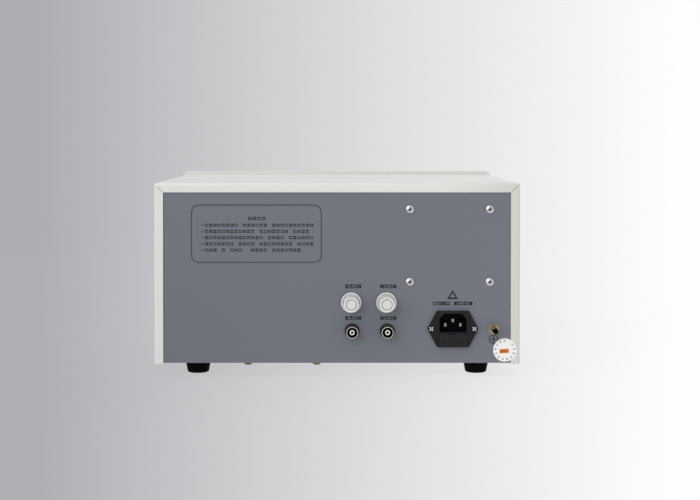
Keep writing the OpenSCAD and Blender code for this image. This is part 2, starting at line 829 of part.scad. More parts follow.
// Front panel with its openings
module front_panel() {
    color(slate) difference() {
        along_y(y_front, y_front_in) translate([0, bezel_mid])
            square([front_panel_w, front_panel_h], center = true);
        at_front(display_u, display_v) translate([0, 0, -panel_t - cut])
            linear_extrude(panel_t + 2 * cut)
                square([window_w + 2 * window_gap, window_h + 2 * window_gap], center = true);
        at_lamps() drill(lamp_d + 2 * hole_gap, panel_t);
        at_front(dial_u, dial_v) drill(drive_bush_d + 2 * hole_gap, panel_t);
        for (i = [0, 1]) {
            at_front(start_u + i * button_pitch, control_v) drill(button_body_d + 2 * hole_gap, panel_t);
            at_front(terminal_u + i * terminal_pitch, control_v)
                drill(terminal_shank_d + 2 * hole_gap, panel_t);
        }
        at_front(switch_u, control_v) translate([0, 0, -panel_t - cut])
            linear_extrude(panel_t + 2 * cut)
                square([switch_body_w + 2 * hole_gap, switch_body_h + 2 * hole_gap], center = true);
    }
}

// Places children on the ground below each foot's axis
module at_feet() {
    for (sx = [-1, 1], y = [y_cover + foot_end, y_lip - foot_end])
        translate([sx * (case_w / 2 - foot_side), y, 0]) children();
}

// Rubber feet: tapered, rounded below, each with a well for its screw
module rubber_feet() {
    tip = foot_tip_d / 2;
    color(rubber) at_feet() difference() {
        rotate_extrude() {
            polygon([[0, foot_round], [tip, foot_round], [foot_d / 2, foot_h - edge],
                [foot_d / 2, foot_h], [0, foot_h]]);
            square([tip - foot_round, foot_round]);
            translate([tip - foot_round, foot_round]) circle(r = foot_round);
        }
        translate([0, 0, -cut]) cylinder(d = head_d + 1, h = foot_well + cut);
        cylinder(d = screw_d + 2 * hole_gap, h = foot_h + cut);
    }
}

module foot_screws() {
    color(zinc) at_feet() translate([0, 0, foot_well]) mirror([0, 0, 1])
        pan_screw(screw_d, foot_h - foot_well + base_t + screw_len / 4, head_d, head_h);
}

// Places children on the rear panel at the signal board's screws
module at_signal_screws() {
    at_rear(signal_u, signal_v) at_corners(signal_screw_w, signal_screw_h) children();
}

module signal_board_screws() {
    color(nickel) at_signal_screws() pan_screw(screw_d, panel_t + signal_gap / 2, head_d, head_h);
}

// Hexagonal pillars between the rear panel and the signal board, with a spigot through the board
module signal_board_pillars() {
    color(brass) at_signal_screws() difference() {
        union() {
            translate([0, 0, -panel_t - signal_gap])
                cylinder(d = pillar_af / cos(30), h = signal_gap, $fn = 6);
            translate([0, 0, -panel_t - signal_gap - board_t - edge])
                cylinder(d = screw_d, h = signal_gap);
        }
        translate([0, 0, -panel_t - signal_gap / 2 - edge])
            cylinder(d = screw_d + 2 * run_gap, h = signal_gap);
    }
}

module signal_board() {
    color(board_green) at_rear(signal_u, signal_v) translate([0, 0, -panel_t - signal_gap - board_t])
        linear_extrude(board_t) difference() {
            square([signal_w, signal_h], center = true);
            at_corners(signal_screw_w, signal_screw_h) circle(d = screw_d + 2 * run_gap);
        }
}

// Relays, capacitors and a heat sink on the signal board's inner face
module signal_board_parts() {
    color(steel) at_rear(signal_u, signal_v) translate([0, 0, -panel_t - signal_gap - board_t]) {
        for (i = [-1, 0, 1]) translate([i * signal_w / 4, signal_h / 5, -relay_h])
            linear_extrude(relay_h) square([relay_w, relay_l], center = true);
        for (i = [-1, 1]) translate([i * signal_w / 4, -signal_h / 8, -small_cap_h])
            cylinder(d = small_cap_d, h = small_cap_h);
        translate([0, -signal_h / 3, -sink_h]) linear_extrude(sink_h)
            heat_sink(signal_w / 2, sink_depth, sink_fins);
    }
}

// Comb-shaped heat sink outline
module heat_sink(w, h, fins) {
    fin_t = 1.4;
    translate([-w / 2, -h / 2]) square([w, 3]);
    for (i = [0 : fins - 1])
        translate([-w / 2 + i * (w - fin_t) / (fins - 1), -h / 2]) square([fin_t, h]);
}

// Potentiometers behind the rear panel, with their bushes through it
module gain_pots() {
    color(zinc) for (u = knob_columns) at_rear(u, knob_v) difference() {
        union() {
            translate([0, 0, -panel_t - pot_l]) cylinder(d = pot_d, h = pot_l);
            translate([0, 0, -panel_t - edge]) cylinder(d = bush_d, h = panel_t + bush_l + edge);
            for (i = [-1, 0, 1])
                translate([i * pot_d / 4 - pot_lug_w / 2, -pot_d / 2 - pot_lug_l, -panel_t - pot_l / 2])
                    cube([pot_lug_w, pot_d / 2 + pot_lug_l, pot_lug_t]);
        }
        translate([0, 0, -panel_t - pot_l + pot_floor])
            cylinder(d = shaft_d + 2 * run_gap, h = pot_l + panel_t + bush_l);
    }
}

module gain_pot_nuts() {
    color(nickel) for (u = knob_columns) at_rear(u, knob_v)
        hex_nut(pot_nut_af, pot_nut_h, bush_d + 2 * run_gap);
}

// Shaft of one potentiometer, from the floor of its body to the end of the knob's bore
module gain_shaft(u) {
    shaft_base = -panel_t - pot_l + pot_floor;
    color(zinc) at_rear(u, knob_v) translate([0, 0, shaft_base])
        cylinder(d = shaft_d, h = gain_gap + gain_bore_h - shaft_base);
}

module gain_knob(u) {
    color(cream) at_rear(u, knob_v) translate([0, 0, gain_gap])
        knob(gain_d, gain_grip_d, gain_cap_d, gain_h, gain_skirt_h, gain_hollow_d,
            gain_hollow_h, shaft_d + 2 * run_gap, gain_bore_h, gain_flutes);
}

module x_gain_shaft() {
    gain_shaft(knob_columns[0]);
}

module y_gain_shaft() {
    gain_shaft(knob_columns[1]);
}

module x_gain_knob() {
    gain_knob(knob_columns[0]);
}

module y_gain_knob() {
    gain_knob(knob_columns[1]);
}

// Body of a coaxial output: shank, collar and sleeve in one turned piece, with two bayonet lugs
module output_socket(u) {
    color(nickel) at_rear(u, socket_v) {
        rotate_extrude() polygon([
            [0, -panel_t - shank_l], [shank_d / 2 - edge, -panel_t - shank_l],
            [shank_d / 2, -panel_t - shank_l + edge], [shank_d / 2, washer_t],
            [collar_d / 2, washer_t], [collar_d / 2, collar_top - edge],
            [collar_d / 2 - edge, collar_top], [sleeve_d / 2, collar_top], [sleeve_d / 2, socket_l],
            [sleeve_bore / 2, socket_l], [sleeve_bore / 2, cavity_z], [0, cavity_z]]);
        for (a = [90, 270]) rotate(a) translate([(sleeve_d + sleeve_bore) / 4, 0, lug_z])
            rotate([0, 90, 0]) cylinder(d = lug_d, h = lug_span / 2 - (sleeve_d + sleeve_bore) / 4);
    }
}

module x_output_socket() {
    output_socket(columns[0]);
}

module y_output_socket() {
    output_socket(columns[1]);
}

module socket_washers() {
    color(black) for (u = columns) at_rear(u, socket_v) difference() {
        cylinder(d = washer_d, h = washer_t);
        translate([0, 0, -cut]) cylinder(d = shank_d + 2 * hole_gap, h = washer_t + 2 * cut);
    }
}

module socket_insulators() {
    color(white) for (u = columns) at_rear(u, socket_v) translate([0, 0, cavity_z]) difference() {
        cylinder(d = insulator_d, h = socket_l - insulator_in - cavity_z);
        translate([0, 0, -cut]) cylinder(d = contact_d + 2 * run_gap, h = socket_l);
    }
}

module socket_contacts() {
    color(brass) for (u = columns) at_rear(u, socket_v) translate([0, 0, cavity_z]) difference() {
        cylinder(d = contact_d, h = socket_l - insulator_in - cavity_z - edge);
        translate([0, 0, edge]) cylinder(d = contact_bore, h = socket_l);
    }
}

module socket_nuts() {
    color(nickel) for (u = columns) at_rear(u, socket_v) translate([0, 0, -panel_t - socket_nut_h])
        hex_nut(socket_nut_af, socket_nut_h, shank_d + 2 * run_gap);
}

// Six-sided flange outline: the middle block's corners run in straight lines to two rounded tips
module inlet_outline() {
    right = [block_corner, tip_touch, [tip_touch.x, -tip_touch.y], [block_corner.x, -block_corner.y]];
    left = [for (i = [3 : -1 : 0]) [-right[i].x, right[i].y]];
    polygon(concat(right, left));
    for (s = [-1, 1]) translate([s * inlet_screw_gap / 2, 0]) circle(r = tip_r);
}

// Plug cavity outline with its two upper corners cut off
module cavity_outline() {
    x = cavity_w / 2;
    y = cavity_h / 2;
    polygon([[-x, -y], [x, -y], [x, y - cavity_chamfer], [x - cavity_chamfer, y],
        [-x + cavity_chamfer, y], [-x, y - cavity_chamfer]]);
}

// Fused inlet: flange, raised middle block and body in one moulding, cut by cavity and fuse drawer
module inlet_housing() {
    color(black) at_rear(inlet_u, inlet_v) difference() {
        union() {
            linear_extrude(inlet_flange_t) inlet_outline();
            linear_extrude(inlet_rise) square([inlet_block_w, inlet_h], center = true);
            translate([0, 0, -inlet_l]) linear_extrude(inlet_l + edge)
                square([inlet_body_w, inlet_body_h], center = true);
        }
        translate([0, cavity_up, inlet_rise - cavity_l]) linear_extrude(cavity_l + cut)
            cavity_outline();
        for (p = inlet_pins_at) translate([p.x, cavity_up + p.y, -inlet_l - cut])
            linear_extrude(inlet_l + cut)
                square([pin_t + 2 * run_gap, pin_w + 2 * run_gap], center = true);
        translate([0, -drawer_down, drawer_seat]) linear_extrude(inlet_rise)
            square([drawer_w + 2 * slide_gap, drawer_h + 2 * slide_gap], center = true);
        translate([0, -drawer_down, drawer_seat - tray_l]) linear_extrude(inlet_rise + tray_l)
            square([tray_w + 2 * slide_gap, tray_h + 2 * slide_gap], center = true);
        for (s = [-1, 1]) translate([s * inlet_screw_gap / 2, 0, 0]) {
            drill(inlet_screw_d + 2 * hole_gap, inlet_flange_t);
            translate([0, 0, inlet_flange_t]) countersink(inlet_head_d + 2 * hole_gap,
                inlet_screw_d + 2 * hole_gap, inlet_sink, cut);
        }
    }
}

// Cone that narrows downwards from zero, with a straight part of the given height above it
module countersink(d, low_d, h, above) {
    translate([0, 0, -h]) cylinder(d1 = low_d, d2 = d, h = h);
    if (above > 0) cylinder(d = d, h = above);
}

module inlet_screws() {
    color(nickel) at_rear(inlet_u, inlet_v) for (s = [-1, 1])
        translate([s * inlet_screw_gap / 2, 0, inlet_flange_t]) difference() {
            union() {
                countersink(inlet_head_d, inlet_screw_d, inlet_sink, 0);
                translate([0, 0, -screw_len]) cylinder(d = inlet_screw_d, h = screw_len - edge);
            }
            cross_recess(inlet_head_d * 0.84, inlet_head_d * 0.22, inlet_sink / 2, 0);
        }
}

// Blades that run from the solder tags through the cavity's floor to just inside its mouth
module inlet_pins() {
    color(nickel) at_rear(inlet_u, inlet_v) for (p = inlet_pins_at)
        translate([p.x, cavity_up + p.y, -inlet_l - tag_l])
            linear_extrude(inlet_l + tag_l + inlet_rise - pin_in)
                square([pin_t, pin_w], center = true);
}

// Fuse drawer: a front with a finger notch and a tray with two fuse pockets open at the top
module fuse_drawer() {
    color(black) at_rear(inlet_u, inlet_v) translate([0, -drawer_down, drawer_seat]) difference() {
        union() {
            linear_extrude(drawer_t) square([drawer_w, drawer_h], center = true);
            translate([0, 0, -tray_l]) linear_extrude(tray_l + edge)
                square([tray_w, tray_h], center = true);
        }
        at_fuses() translate([0, tray_h / 2, 0])
            cube([pocket_l, 2 * (tray_h - tray_floor), pocket_w], center = true);
        translate([0, drawer_h / 2, drawer_t]) rotate([45, 0, 0])
            cube([drawer_w / 3, drawer_t * 0.9, drawer_t * 0.9], center = true);
        translate([0, -drawer_dish / 2, drawer_t - drawer_dish]) linear_extrude(drawer_t)
            rounded_rect(drawer_w * 0.7, drawer_h * 0.55, drawer_h * 0.2);
    }
}

// Places children at the middle of each fuse pocket, in the drawer's own frame
module at_fuses() {
    for (i = [0, 1]) translate([0, 0, -tray_l + pocket_wall + pocket_w / 2 + i * (pocket_w + pocket_wall)])
        children();
}

// Glass fuses with end caps, lying across the drawer
module fuses() {
    cap_l = fuse_l / 4;
    color(nickel) at_rear(inlet_u, inlet_v) translate([0, -drawer_down, drawer_seat]) at_fuses()
        translate([-fuse_l / 2, -tray_h / 2 + tray_floor + fuse_d / 2 + run_gap, 0]) rotate([0, 90, 0]) {
            cylinder(d = fuse_d, h = cap_l);
            translate([0, 0, cap_l - edge]) cylinder(d = fuse_d * 0.94, h = fuse_l - 2 * cap_l + 2 * edge);
            translate([0, 0, fuse_l - cap_l]) cylinder(d = fuse_d, h = cap_l);
        }
}

// Earth post: a hexagon with a stud outwards and a shank through the panel
module earth_post() {
    color(brass) at_rear(post_u, post_v) {
        translate([0, 0, post_washer_t]) cylinder(d = post_af / cos(30), h = post_hex_h, $fn = 6);
        translate([0, 0, post_tail]) cylinder(d = stud_d, h = post_top - post_tail);
    }
}

// Washer under the post outside the panel and the nut inside it
module earth_post_hardware() {
    color(brass) at_rear(post_u, post_v) {
        difference() {
            cylinder(d = post_washer_d, h = post_washer_t);
            translate([0, 0, -cut]) cylinder(d = stud_d + 2 * hole_gap, h = post_washer_t + 2 * cut);
        }
        translate([0, 0, -panel_t - nut_h]) hex_nut(stud_d + 3, nut_h, stud_d + 2 * run_gap);
    }
}

module earth_tip() {
    color(black) at_rear(post_u, post_v) translate([0, 0, post_top]) cylinder(d = stud_d, h = tip_l);
}

// Window of the display: a plate in the panel's opening with a rim behind it
module display_window() {
    color(smoke) at_front(display_u, display_v) {
        translate([0, 0, -panel_t - edge]) linear_extrude(panel_t + window_proud + edge)
            square([window_w, window_h], center = true);
        translate([0, 0, -panel_t - window_rim_t]) linear_extrude(window_rim_t)
            square([window_w + 2 * window_rim, window_h + 2 * window_rim], center = true);
    }
}

// Three digit modules that stand on the display board behind the window
module digit_modules() {
    module_l = display_gap - window_rim_t - module_gap;
    color(black) at_front(display_u, display_v) for (i = [-1, 0, 1])
        translate([i * window_w / 3, 0, -panel_t - display_gap]) linear_extrude(module_l)
            square([module_w, module_h], center = true);
}

module display_board() {
    color(board_green) at_front(display_board_u, display_v)
        translate([0, 0, -panel_t - display_gap - board_t]) linear_extrude(board_t)
            square([display_board_w, display_board_h], center = true);
}

// Places children on the front panel at each lamp
module at_lamps() {
    for (i = [0 : lamp_count - 1]) at_front(lamp_u + i * lamp_pitch, display_v) children();
}

// Lamps: domed lenses through the panel, each with a flange behind it and a stem to the board
module indicator_lamps() {
    color(white) at_lamps() {
        translate([0, 0, -panel_t - display_gap])
            cylinder(d = lamp_d, h = panel_t + display_gap + lamp_proud);
        translate([0, 0, lamp_proud]) intersection() {
            sphere(d = lamp_d);
            translate([0, 0, -edge]) cylinder(d = 2 * lamp_d, h = lamp_d);
        }
        translate([0, 0, -panel_t - lamp_proud])
            cylinder(d = lamp_d + 2 * (hole_gap + lamp_flange), h = lamp_proud);
    }
}

// Pillars that carry the display board and the control board
module board_pillars() {
    color(zinc) {
        at_front(display_board_u, display_v) translate([0, 0, -panel_t - display_gap])
            at_corners(display_board_w - 2 * pillar_in, display_board_h - 2 * pillar_in)
                cylinder(d = post_d, h = display_gap);
        translate([control_x + control_w / 2, control_y + control_l / 2, z_floor])
            at_corners(control_w - 2 * pillar_in, control_l - 2 * pillar_in)
                cylinder(d = post_d, h = control_lift);
    }
}

// Bodies of the push buttons: a ring in front of the panel and a barrel behind it
module button_bodies() {
    color(black) for (i = [0, 1]) at_front(start_u + i * button_pitch, control_v)
        rotate_extrude() polygon([
            [0, -button_body_l], [button_body_d / 2 - edge, -button_body_l],
            [button_body_d / 2, -button_body_l + edge], [button_body_d / 2, 0], [button_ring_d / 2, 0],
            [button_ring_d / 2, button_ring_t - 2 * edge], [button_ring_d / 2 - 2 * edge, button_ring_t],
            [button_d / 2 + guide_gap, button_ring_t], [button_d / 2 + guide_gap, -button_guide],
            [button_chamber_d / 2 + guide_gap, -button_guide],
            [button_chamber_d / 2 + guide_gap, -button_floor], [0, -button_floor]]);
}

// Push button: a dished cap with a shoulder below that stops under the barrel's guide
module push_button(u) {
    dish = 0.8;
    at_front(u, control_v) difference() {
        rotate_extrude() polygon([
            [0, -button_guide - button_foot], [button_chamber_d / 2, -button_guide - button_foot],
            [button_chamber_d / 2, -button_guide], [button_d / 2, -button_guide],
            [button_d / 2, button_h - edge], [button_d / 2 - edge, button_h], [0, button_h]]);
        translate([0, 0, button_h - dish + 2 * button_d]) sphere(r = 2 * button_d);
    }
}

module start_button() {
    color([0.15, 0.5, 0.25]) push_button(start_u);
}

module reset_button() {
    color([0.65, 0.12, 0.1]) push_button(start_u + button_pitch);
}

// Insulated terminal: flange, tapered post and shank in one turned piece, hollow for its contact
module terminal(u) {
    contact_r = plug_d / 2 + contact_wall;
    at_front(u, control_v) rotate_extrude() polygon([
        [contact_r + run_gap, -terminal_shank_l], [terminal_shank_d / 2, -terminal_shank_l],
        [terminal_shank_d / 2, 0], [terminal_d / 2, 0], [terminal_d / 2, terminal_flange_t - edge],
        [terminal_d / 2 - edge, terminal_flange_t], [terminal_post_d / 2, terminal_flange_t],
        [terminal_post_d / 2 - 2 * edge, terminal_l - 2 * edge],
        [terminal_post_d / 2 - 4 * edge, terminal_l], [contact_r + run_gap + 2 * edge, terminal_l],
        [contact_r + run_gap, terminal_l - contact_in]]);
}

module hv_terminal() {
    color([0.7, 0.1, 0.08]) terminal(terminal_u);
}

module return_terminal() {
    color(black) terminal(terminal_u + terminal_pitch);
}

// Contacts: turned pins with a plug socket in front and a solder end behind
module terminal_contacts() {
    contact_r = plug_d / 2 + contact_wall;
    top = terminal_l - contact_in;
    color(brass) for (i = [0, 1]) at_front(terminal_u + i * terminal_pitch, control_v) difference() {
        union() {
            translate([0, 0, -terminal_shank_l]) cylinder(r = contact_r, h = terminal_shank_l + top);
            translate([0, 0, -terminal_shank_l - contact_flange_t])
                cylinder(r = contact_r + contact_flange, h = contact_flange_t);
            translate([0, 0, -terminal_shank_l - contact_tail_l])
                cylinder(r = contact_r - contact_wall, h = contact_tail_l - contact_flange_t + edge);
        }
        translate([0, 0, top - plug_l]) cylinder(d = plug_d, h = plug_l + cut);
    }
}

module terminal_nuts() {
    color(zinc) for (i = [0, 1]) at_front(terminal_u + i * terminal_pitch, control_v)
        translate([0, 0, -panel_t - terminal_nut_h])
            hex_nut(terminal_nut_af, terminal_nut_h, terminal_shank_d + 2 * run_gap);
}

// Frame of the power switch: a rim in front of the panel and a hollow body with pivot holes
module switch_frame() {
    hollow_w = switch_body_w - 2 * switch_wall;
    hollow_h = switch_body_h - 2 * switch_wall;
    color(black) at_front(switch_u, control_v) difference() {
        union() {
            linear_extrude(switch_frame_t) rounded_rect(switch_w, switch_h, 1);
            translate([0, 0, -switch_l]) linear_extrude(switch_l + edge)
                square([switch_body_w, switch_body_h], center = true);
            for (s = [-1, 1]) translate([0, s * switch_body_h / 4, -switch_l - tag_l])
                linear_extrude(tag_l + edge) square([switch_tag_w, switch_tag_t], center = true);
        }
        translate([0, 0, rocker_pivot - rocker_r - rocker_gap]) linear_extrude(switch_l)
            square([hollow_w, hollow_h], center = true);
        translate([0, 0, rocker_pivot]) rotate([0, 90, 0])
            cylinder(d = rocker_pin_d + 2 * run_gap, h = rocker_span, center = true);
    }
}

// Rocker: a barrel about its pivot, topped by two sloping faces, with a pin at each side
module power_rocker() {
    top = rocker_crown + rocker_r * tan(rocker_tilt);
    color([0.7, 0.1, 0.08]) at_front(switch_u, control_v) translate([0, 0, rocker_pivot])
        rotate([rocker_tilt, 0, 0]) {
            intersection() {
                rotate([0, 90, 0]) cylinder(r = rocker_r, h = rocker_w, center = true);
                translate([-rocker_w / 2, 0, 0]) rotate([90, 0, 90]) linear_extrude(rocker_w)
                    polygon([[-rocker_r, -rocker_depth], [rocker_r, -rocker_depth], [rocker_r, top],
                        [0, rocker_crown], [-rocker_r, top]]);
            }
            rotate([0, 90, 0]) cylinder(d = rocker_pin_d, h = rocker_span - 2 * run_gap, center = true);
        }
}

// Carrier of the regulating transformer: a bush through the panel, a hub and a plate for the coil
module variac_carrier() {
    color(zinc) at_front(dial_u, dial_v) rotate_extrude() polygon([
        [drive_d / 2 + run_gap, drive_bush_l], [drive_d / 2 + run_gap, carrier_z],
        [ring_d / 2 - ring_r, carrier_z], [ring_d / 2 - ring_r, carrier_z + carrier_t],
        [drive_bush_d, carrier_z + carrier_t], [drive_bush_d, -panel_t],
        [drive_bush_d / 2, -panel_t], [drive_bush_d / 2, drive_bush_l]]);
}

module variac_nut() {
    color(nickel) at_front(dial_u, dial_v) hex_nut(dial_nut_af, dial_nut_h, drive_bush_d + 2 * run_gap);
}

// Ring coil with rounded edges
module variac_coil() {
    w = (ring_d - ring_bore) / 2;
    color(copper) at_front(dial_u, dial_v) rotate_extrude()
        translate([brush_r, ring_z + ring_l / 2]) rounded_rect(w, ring_l, ring_r);
}

// Shaft from the knob through the carrier and the ring coil to the brush arm
module voltage_shaft() {
    color(zinc) at_front(dial_u, dial_v) translate([0, 0, brush_z])
        cylinder(d = drive_d, h = dial_gap + dial_bore_h - brush_z);
}

// Brush arm that sweeps round the end of the ring coil
module variac_brush() {
    color(copper) at_front(dial_u, dial_v) rotate(dial_turn / 2) translate([0, 0, brush_z])
        difference() {
            linear_extrude(brush_t) {
                circle(d = 2 * drive_d);
                translate([-drive_d / 2, 0]) square([drive_d, brush_r]);
                translate([0, brush_r]) circle(d = drive_d);
            }
            translate([0, 0, -cut]) cylinder(d = drive_d + 2 * run_gap, h = brush_t + 2 * cut);
        }
}

module voltage_knob() {
    color(cream) at_front(dial_u, dial_v) rotate(dial_turn / 2) translate([0, 0, dial_gap])
        knob(dial_d, dial_grip_d, dial_cap_d, dial_h, dial_skirt_h, dial_hollow_d,
            dial_hollow_h, drive_d + 2 * run_gap, dial_bore_h, dial_flutes);
}

// Places children above the tray at the transformer's screws
module at_trafo_screws() {
    for (s = [-1, 1], y = trafo_screw_y) translate([trafo_x + s * trafo_screw_w / 2, y, 0]) children();
}

// Laminated core: a block with two windows beside its middle leg
module transformer_core() {
    color(steel) along_y(y_core - core_l, y_core) translate([trafo_x, z_floor + core_h / 2]) difference() {
        square([core_w, core_h], center = true);
        for (s = [-1, 1]) translate([s * (core_leg + window_core_w / 2), 0])
            square([window_core_w, window_core_h], center = true);
    }
}

// Winding round the middle leg
module transformer_coil() {
    winding_w = 2 * (core_leg + window_core_w - winding_gap);
    color(copper) translate([trafo_x, y_core - core_l / 2, z_floor + core_leg])
        linear_extrude(window_core_h) difference() {
            rounded_rect(winding_w, core_l + 2 * coil_over, coil_over / 2);
            square([2 * core_leg, core_l], center = true);
        }
}

// Angle brackets along the lower yoke, in front of and behind the core
module transformer_brackets() {
    color(zinc) for (s = [-1, 1]) {
        face = s > 0 ? y_core : y_core - core_l;
        turn = s > 0 ? 0 : 1;
        difference() {
            along_x(trafo_x - core_w / 2, trafo_x + core_w / 2) translate([face, z_floor])
                mirror([turn, 0]) {
                    square([bracket_foot, bracket_t]);
                    square([bracket_t, core_leg - bracket_t]);
                }
            at_trafo_screws() translate([0, 0, z_floor + bracket_t])
                drill(screw_d + 2 * hole_gap, bracket_t);
        }
    }
}

module transformer_screws() {
    color(yellow_zinc) at_trafo_screws() translate([0, 0, z_base]) mirror([0, 0, 1])
        pan_screw(screw_d, base_t + bracket_t + nut_h + edge, head_d, head_h + edge);
}

module transformer_nuts() {
    color(yellow_zinc) at_trafo_screws() translate([0, 0, z_floor + bracket_t])
        hex_nut(nut_af, nut_h, screw_d + 2 * run_gap);
}

module control_board() {
    color(board_green) translate([control_x, control_y, control_z]) cube([control_w, control_l, board_t]);
}

// Relays, capacitors, a small supply transformer and a heat sink on the control board
module control_board_parts() {
    color(steel) translate([control_x + control_w / 2, control_y + control_l / 2, control_z + board_t]) {
        for (i = [-1, 0, 1]) translate([-control_w / 3, i * 1.5 * relay_w, 0]) linear_extrude(relay_h)
            square([relay_l, relay_w], center = true);
        for (i = [-1, 1]) translate([i * 0.75 * large_cap_d - control_w / 8, -control_l / 3, 0])
            cylinder(d = large_cap_d, h = large_cap_h);
        translate([control_w / 4, control_l / 5, 0]) linear_extrude(supply_h)
            rounded_rect(supply_w, supply_l, bend_r);
        translate([control_w / 4, -control_l / 4, 0]) linear_extrude(sink_h)
            heat_sink(control_w / 3, sink_depth, sink_fins);
    }
}

wrap_cover();
base_tray();
rear_panel();
front_panel();
front_bezel();
rubber_feet();
foot_screws();
cover_screws();
signal_board();
signal_board_parts();
signal_board_pillars();
signal_board_screws();
gain_pots();
gain_pot_nuts();
x_gain_shaft();
y_gain_shaft();
x_gain_knob();
y_gain_knob();
x_output_socket();
y_output_socket();
socket_washers();
socket_insulators();
socket_contacts();
socket_nuts();
inlet_housing();
inlet_pins();
inlet_screws();
fuse_drawer();
fuses();
earth_post();
earth_post_hardware();
earth_tip();
display_window();
digit_modules();
display_board();
indicator_lamps();
board_pillars();
button_bodies();
start_button();
reset_button();
hv_terminal();
return_terminal();
terminal_contacts();
terminal_nuts();
switch_frame();
power_rocker();
variac_carrier();
variac_nut();
variac_coil();
variac_brush();
voltage_shaft();
voltage_knob();
transformer_core();
transformer_coil();
transformer_brackets();
transformer_screws();
transformer_nuts();
control_board();
control_board_parts();
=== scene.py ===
# %% [markdown]
# # A bench hipot tester, seen from behind
# The CAD model holds every solid at its true size and place. This script dresses it: camera, floor,
# light, finishes, and the thin printed marks that a solid model leaves out. Everything is in metres,
# in the frame of the CAD model: X to the right of someone facing the front, Y to the rear, Z up.

# %% Load the model
import json
import math
import bpy
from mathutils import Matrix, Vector


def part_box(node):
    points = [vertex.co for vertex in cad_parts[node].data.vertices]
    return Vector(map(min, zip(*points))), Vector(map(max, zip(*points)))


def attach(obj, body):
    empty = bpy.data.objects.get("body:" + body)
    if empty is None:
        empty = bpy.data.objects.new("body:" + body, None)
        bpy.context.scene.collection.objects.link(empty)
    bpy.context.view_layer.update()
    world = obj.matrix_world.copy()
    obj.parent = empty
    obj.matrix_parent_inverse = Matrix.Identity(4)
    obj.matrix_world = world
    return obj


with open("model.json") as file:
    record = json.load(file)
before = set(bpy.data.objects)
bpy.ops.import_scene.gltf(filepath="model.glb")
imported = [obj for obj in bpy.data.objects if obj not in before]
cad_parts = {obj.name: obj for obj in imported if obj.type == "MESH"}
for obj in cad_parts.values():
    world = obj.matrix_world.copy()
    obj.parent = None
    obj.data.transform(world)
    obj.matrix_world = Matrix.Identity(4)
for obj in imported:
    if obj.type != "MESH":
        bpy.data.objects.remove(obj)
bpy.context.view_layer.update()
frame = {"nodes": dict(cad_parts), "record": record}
mm = 0.001


def corners(node):
    """The lowest and the highest corner of a CAD part."""
    return [[float(value) for value in corner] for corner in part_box(node)]


def middle(node):
    """The middle of a part as seen along Y: how far across and how far up."""
    lo, hi = corners(node)
    return (lo[0] + hi[0]) / 2, (lo[2] + hi[2]) / 2


rear_face = corners("rear_panel")[1][1]
front_face = corners("front_panel")[0][1]
lip_face = corners("wrap_cover")[1][1]

# %% [markdown]
# ## Camera
# The photograph was taken from behind, a little above the case. A camera that looks down makes upright
# edges lean together, and here they hardly do, so most of the framing comes from a shifted lens, as with
# a view camera, and only about one degree from a tilt.

# %% Camera
tilt = math.radians(1.1)
distance = 1.340
eye_height = 0.2270
shift_across = 0.0186
shift_down = -0.1678
camera_data = bpy.data.cameras.new("rear_camera")
camera = bpy.data.objects.new("rear_camera", camera_data)
bpy.context.scene.collection.objects.link(camera)
camera_data.sensor_width = 36.0
camera_data.lens = 74.3
camera_data.shift_x = shift_across
camera_data.shift_y = shift_down + math.tan(tilt) * camera_data.lens / camera_data.sensor_width
camera_data.clip_end = 50.0
camera.location = (0.0, rear_face + distance, eye_height)
camera.rotation_euler = (math.pi / 2 - tilt, 0.0, math.pi)
bpy.context.scene.camera = camera
bpy.context.scene.view_settings.view_transform = "Standard"
print("camera at", tuple(round(value, 3) for value in camera.location))

# %% [markdown]
# ## Floor
# A photographer's sweep is one sheet that lies flat under the object and curves up behind it, so that no
# horizon shows. It starts as a plane. Its far edge is pulled up and the fold is rounded with a bevel. The
# sheet is wide enough that its other edges stay out of the picture when the camera walks round.

# %% Floor
def begin():
    """Leaves edit mode and lets go of everything, because an operator acts on all that is selected."""
    if bpy.context.mode != "OBJECT":
        bpy.ops.object.mode_set(mode="OBJECT")
    bpy.ops.object.select_all(action="DESELECT")


def pick_edges(piece, test):
    """Selects the edges of a mesh whose two ends both pass a test."""
    bpy.ops.object.mode_set(mode="EDIT")
    bpy.ops.mesh.select_mode(type="EDGE")
    bpy.ops.mesh.select_all(action="DESELECT")
    bpy.ops.object.mode_set(mode="OBJECT")
    for edge in piece.data.edges:
        edge.select = all(test(piece.data.vertices[index].co) for index in edge.vertices)
    bpy.ops.object.mode_set(mode="EDIT")


sweep_width, sweep_depth = 24.0, 15.0
wall_y, wall_height = -3.0, 5.0
fold_radius = 1.2
slack = 0.1
begin()
bpy.ops.mesh.primitive_plane_add(size=1.0, location=(0.0, wall_y + sweep_depth / 2, 0.0))
sweep = bpy.context.object
sweep.name = "studio_sweep"
sweep.scale = (sweep_width, sweep_depth, 1.0)
bpy.ops.object.transform_apply(location=True, rotation=False, scale=True)
pick_edges(sweep, lambda co: co.y < wall_y + slack)
bpy.ops.mesh.extrude_edges_move(TRANSFORM_OT_translate={"value": (0.0, 0.0, wall_height)})
pick_edges(sweep, lambda co: co.y < wall_y + slack and co.z < slack)
bpy.ops.mesh.bevel(offset=fold_radius, segments=24)
begin()
sweep.select_set(True)
bpy.context.view_layer.objects.active = sweep
bpy.ops.object.shade_smooth()
print("sweep of", len(sweep.data.polygons), "faces")

# %% [markdown]
# ## Light
# The photograph is lit softly from all round: the top and the rear of the case are almost equally bright.
# An even white world gives that, and three large area lamps add a little shape and gloss.

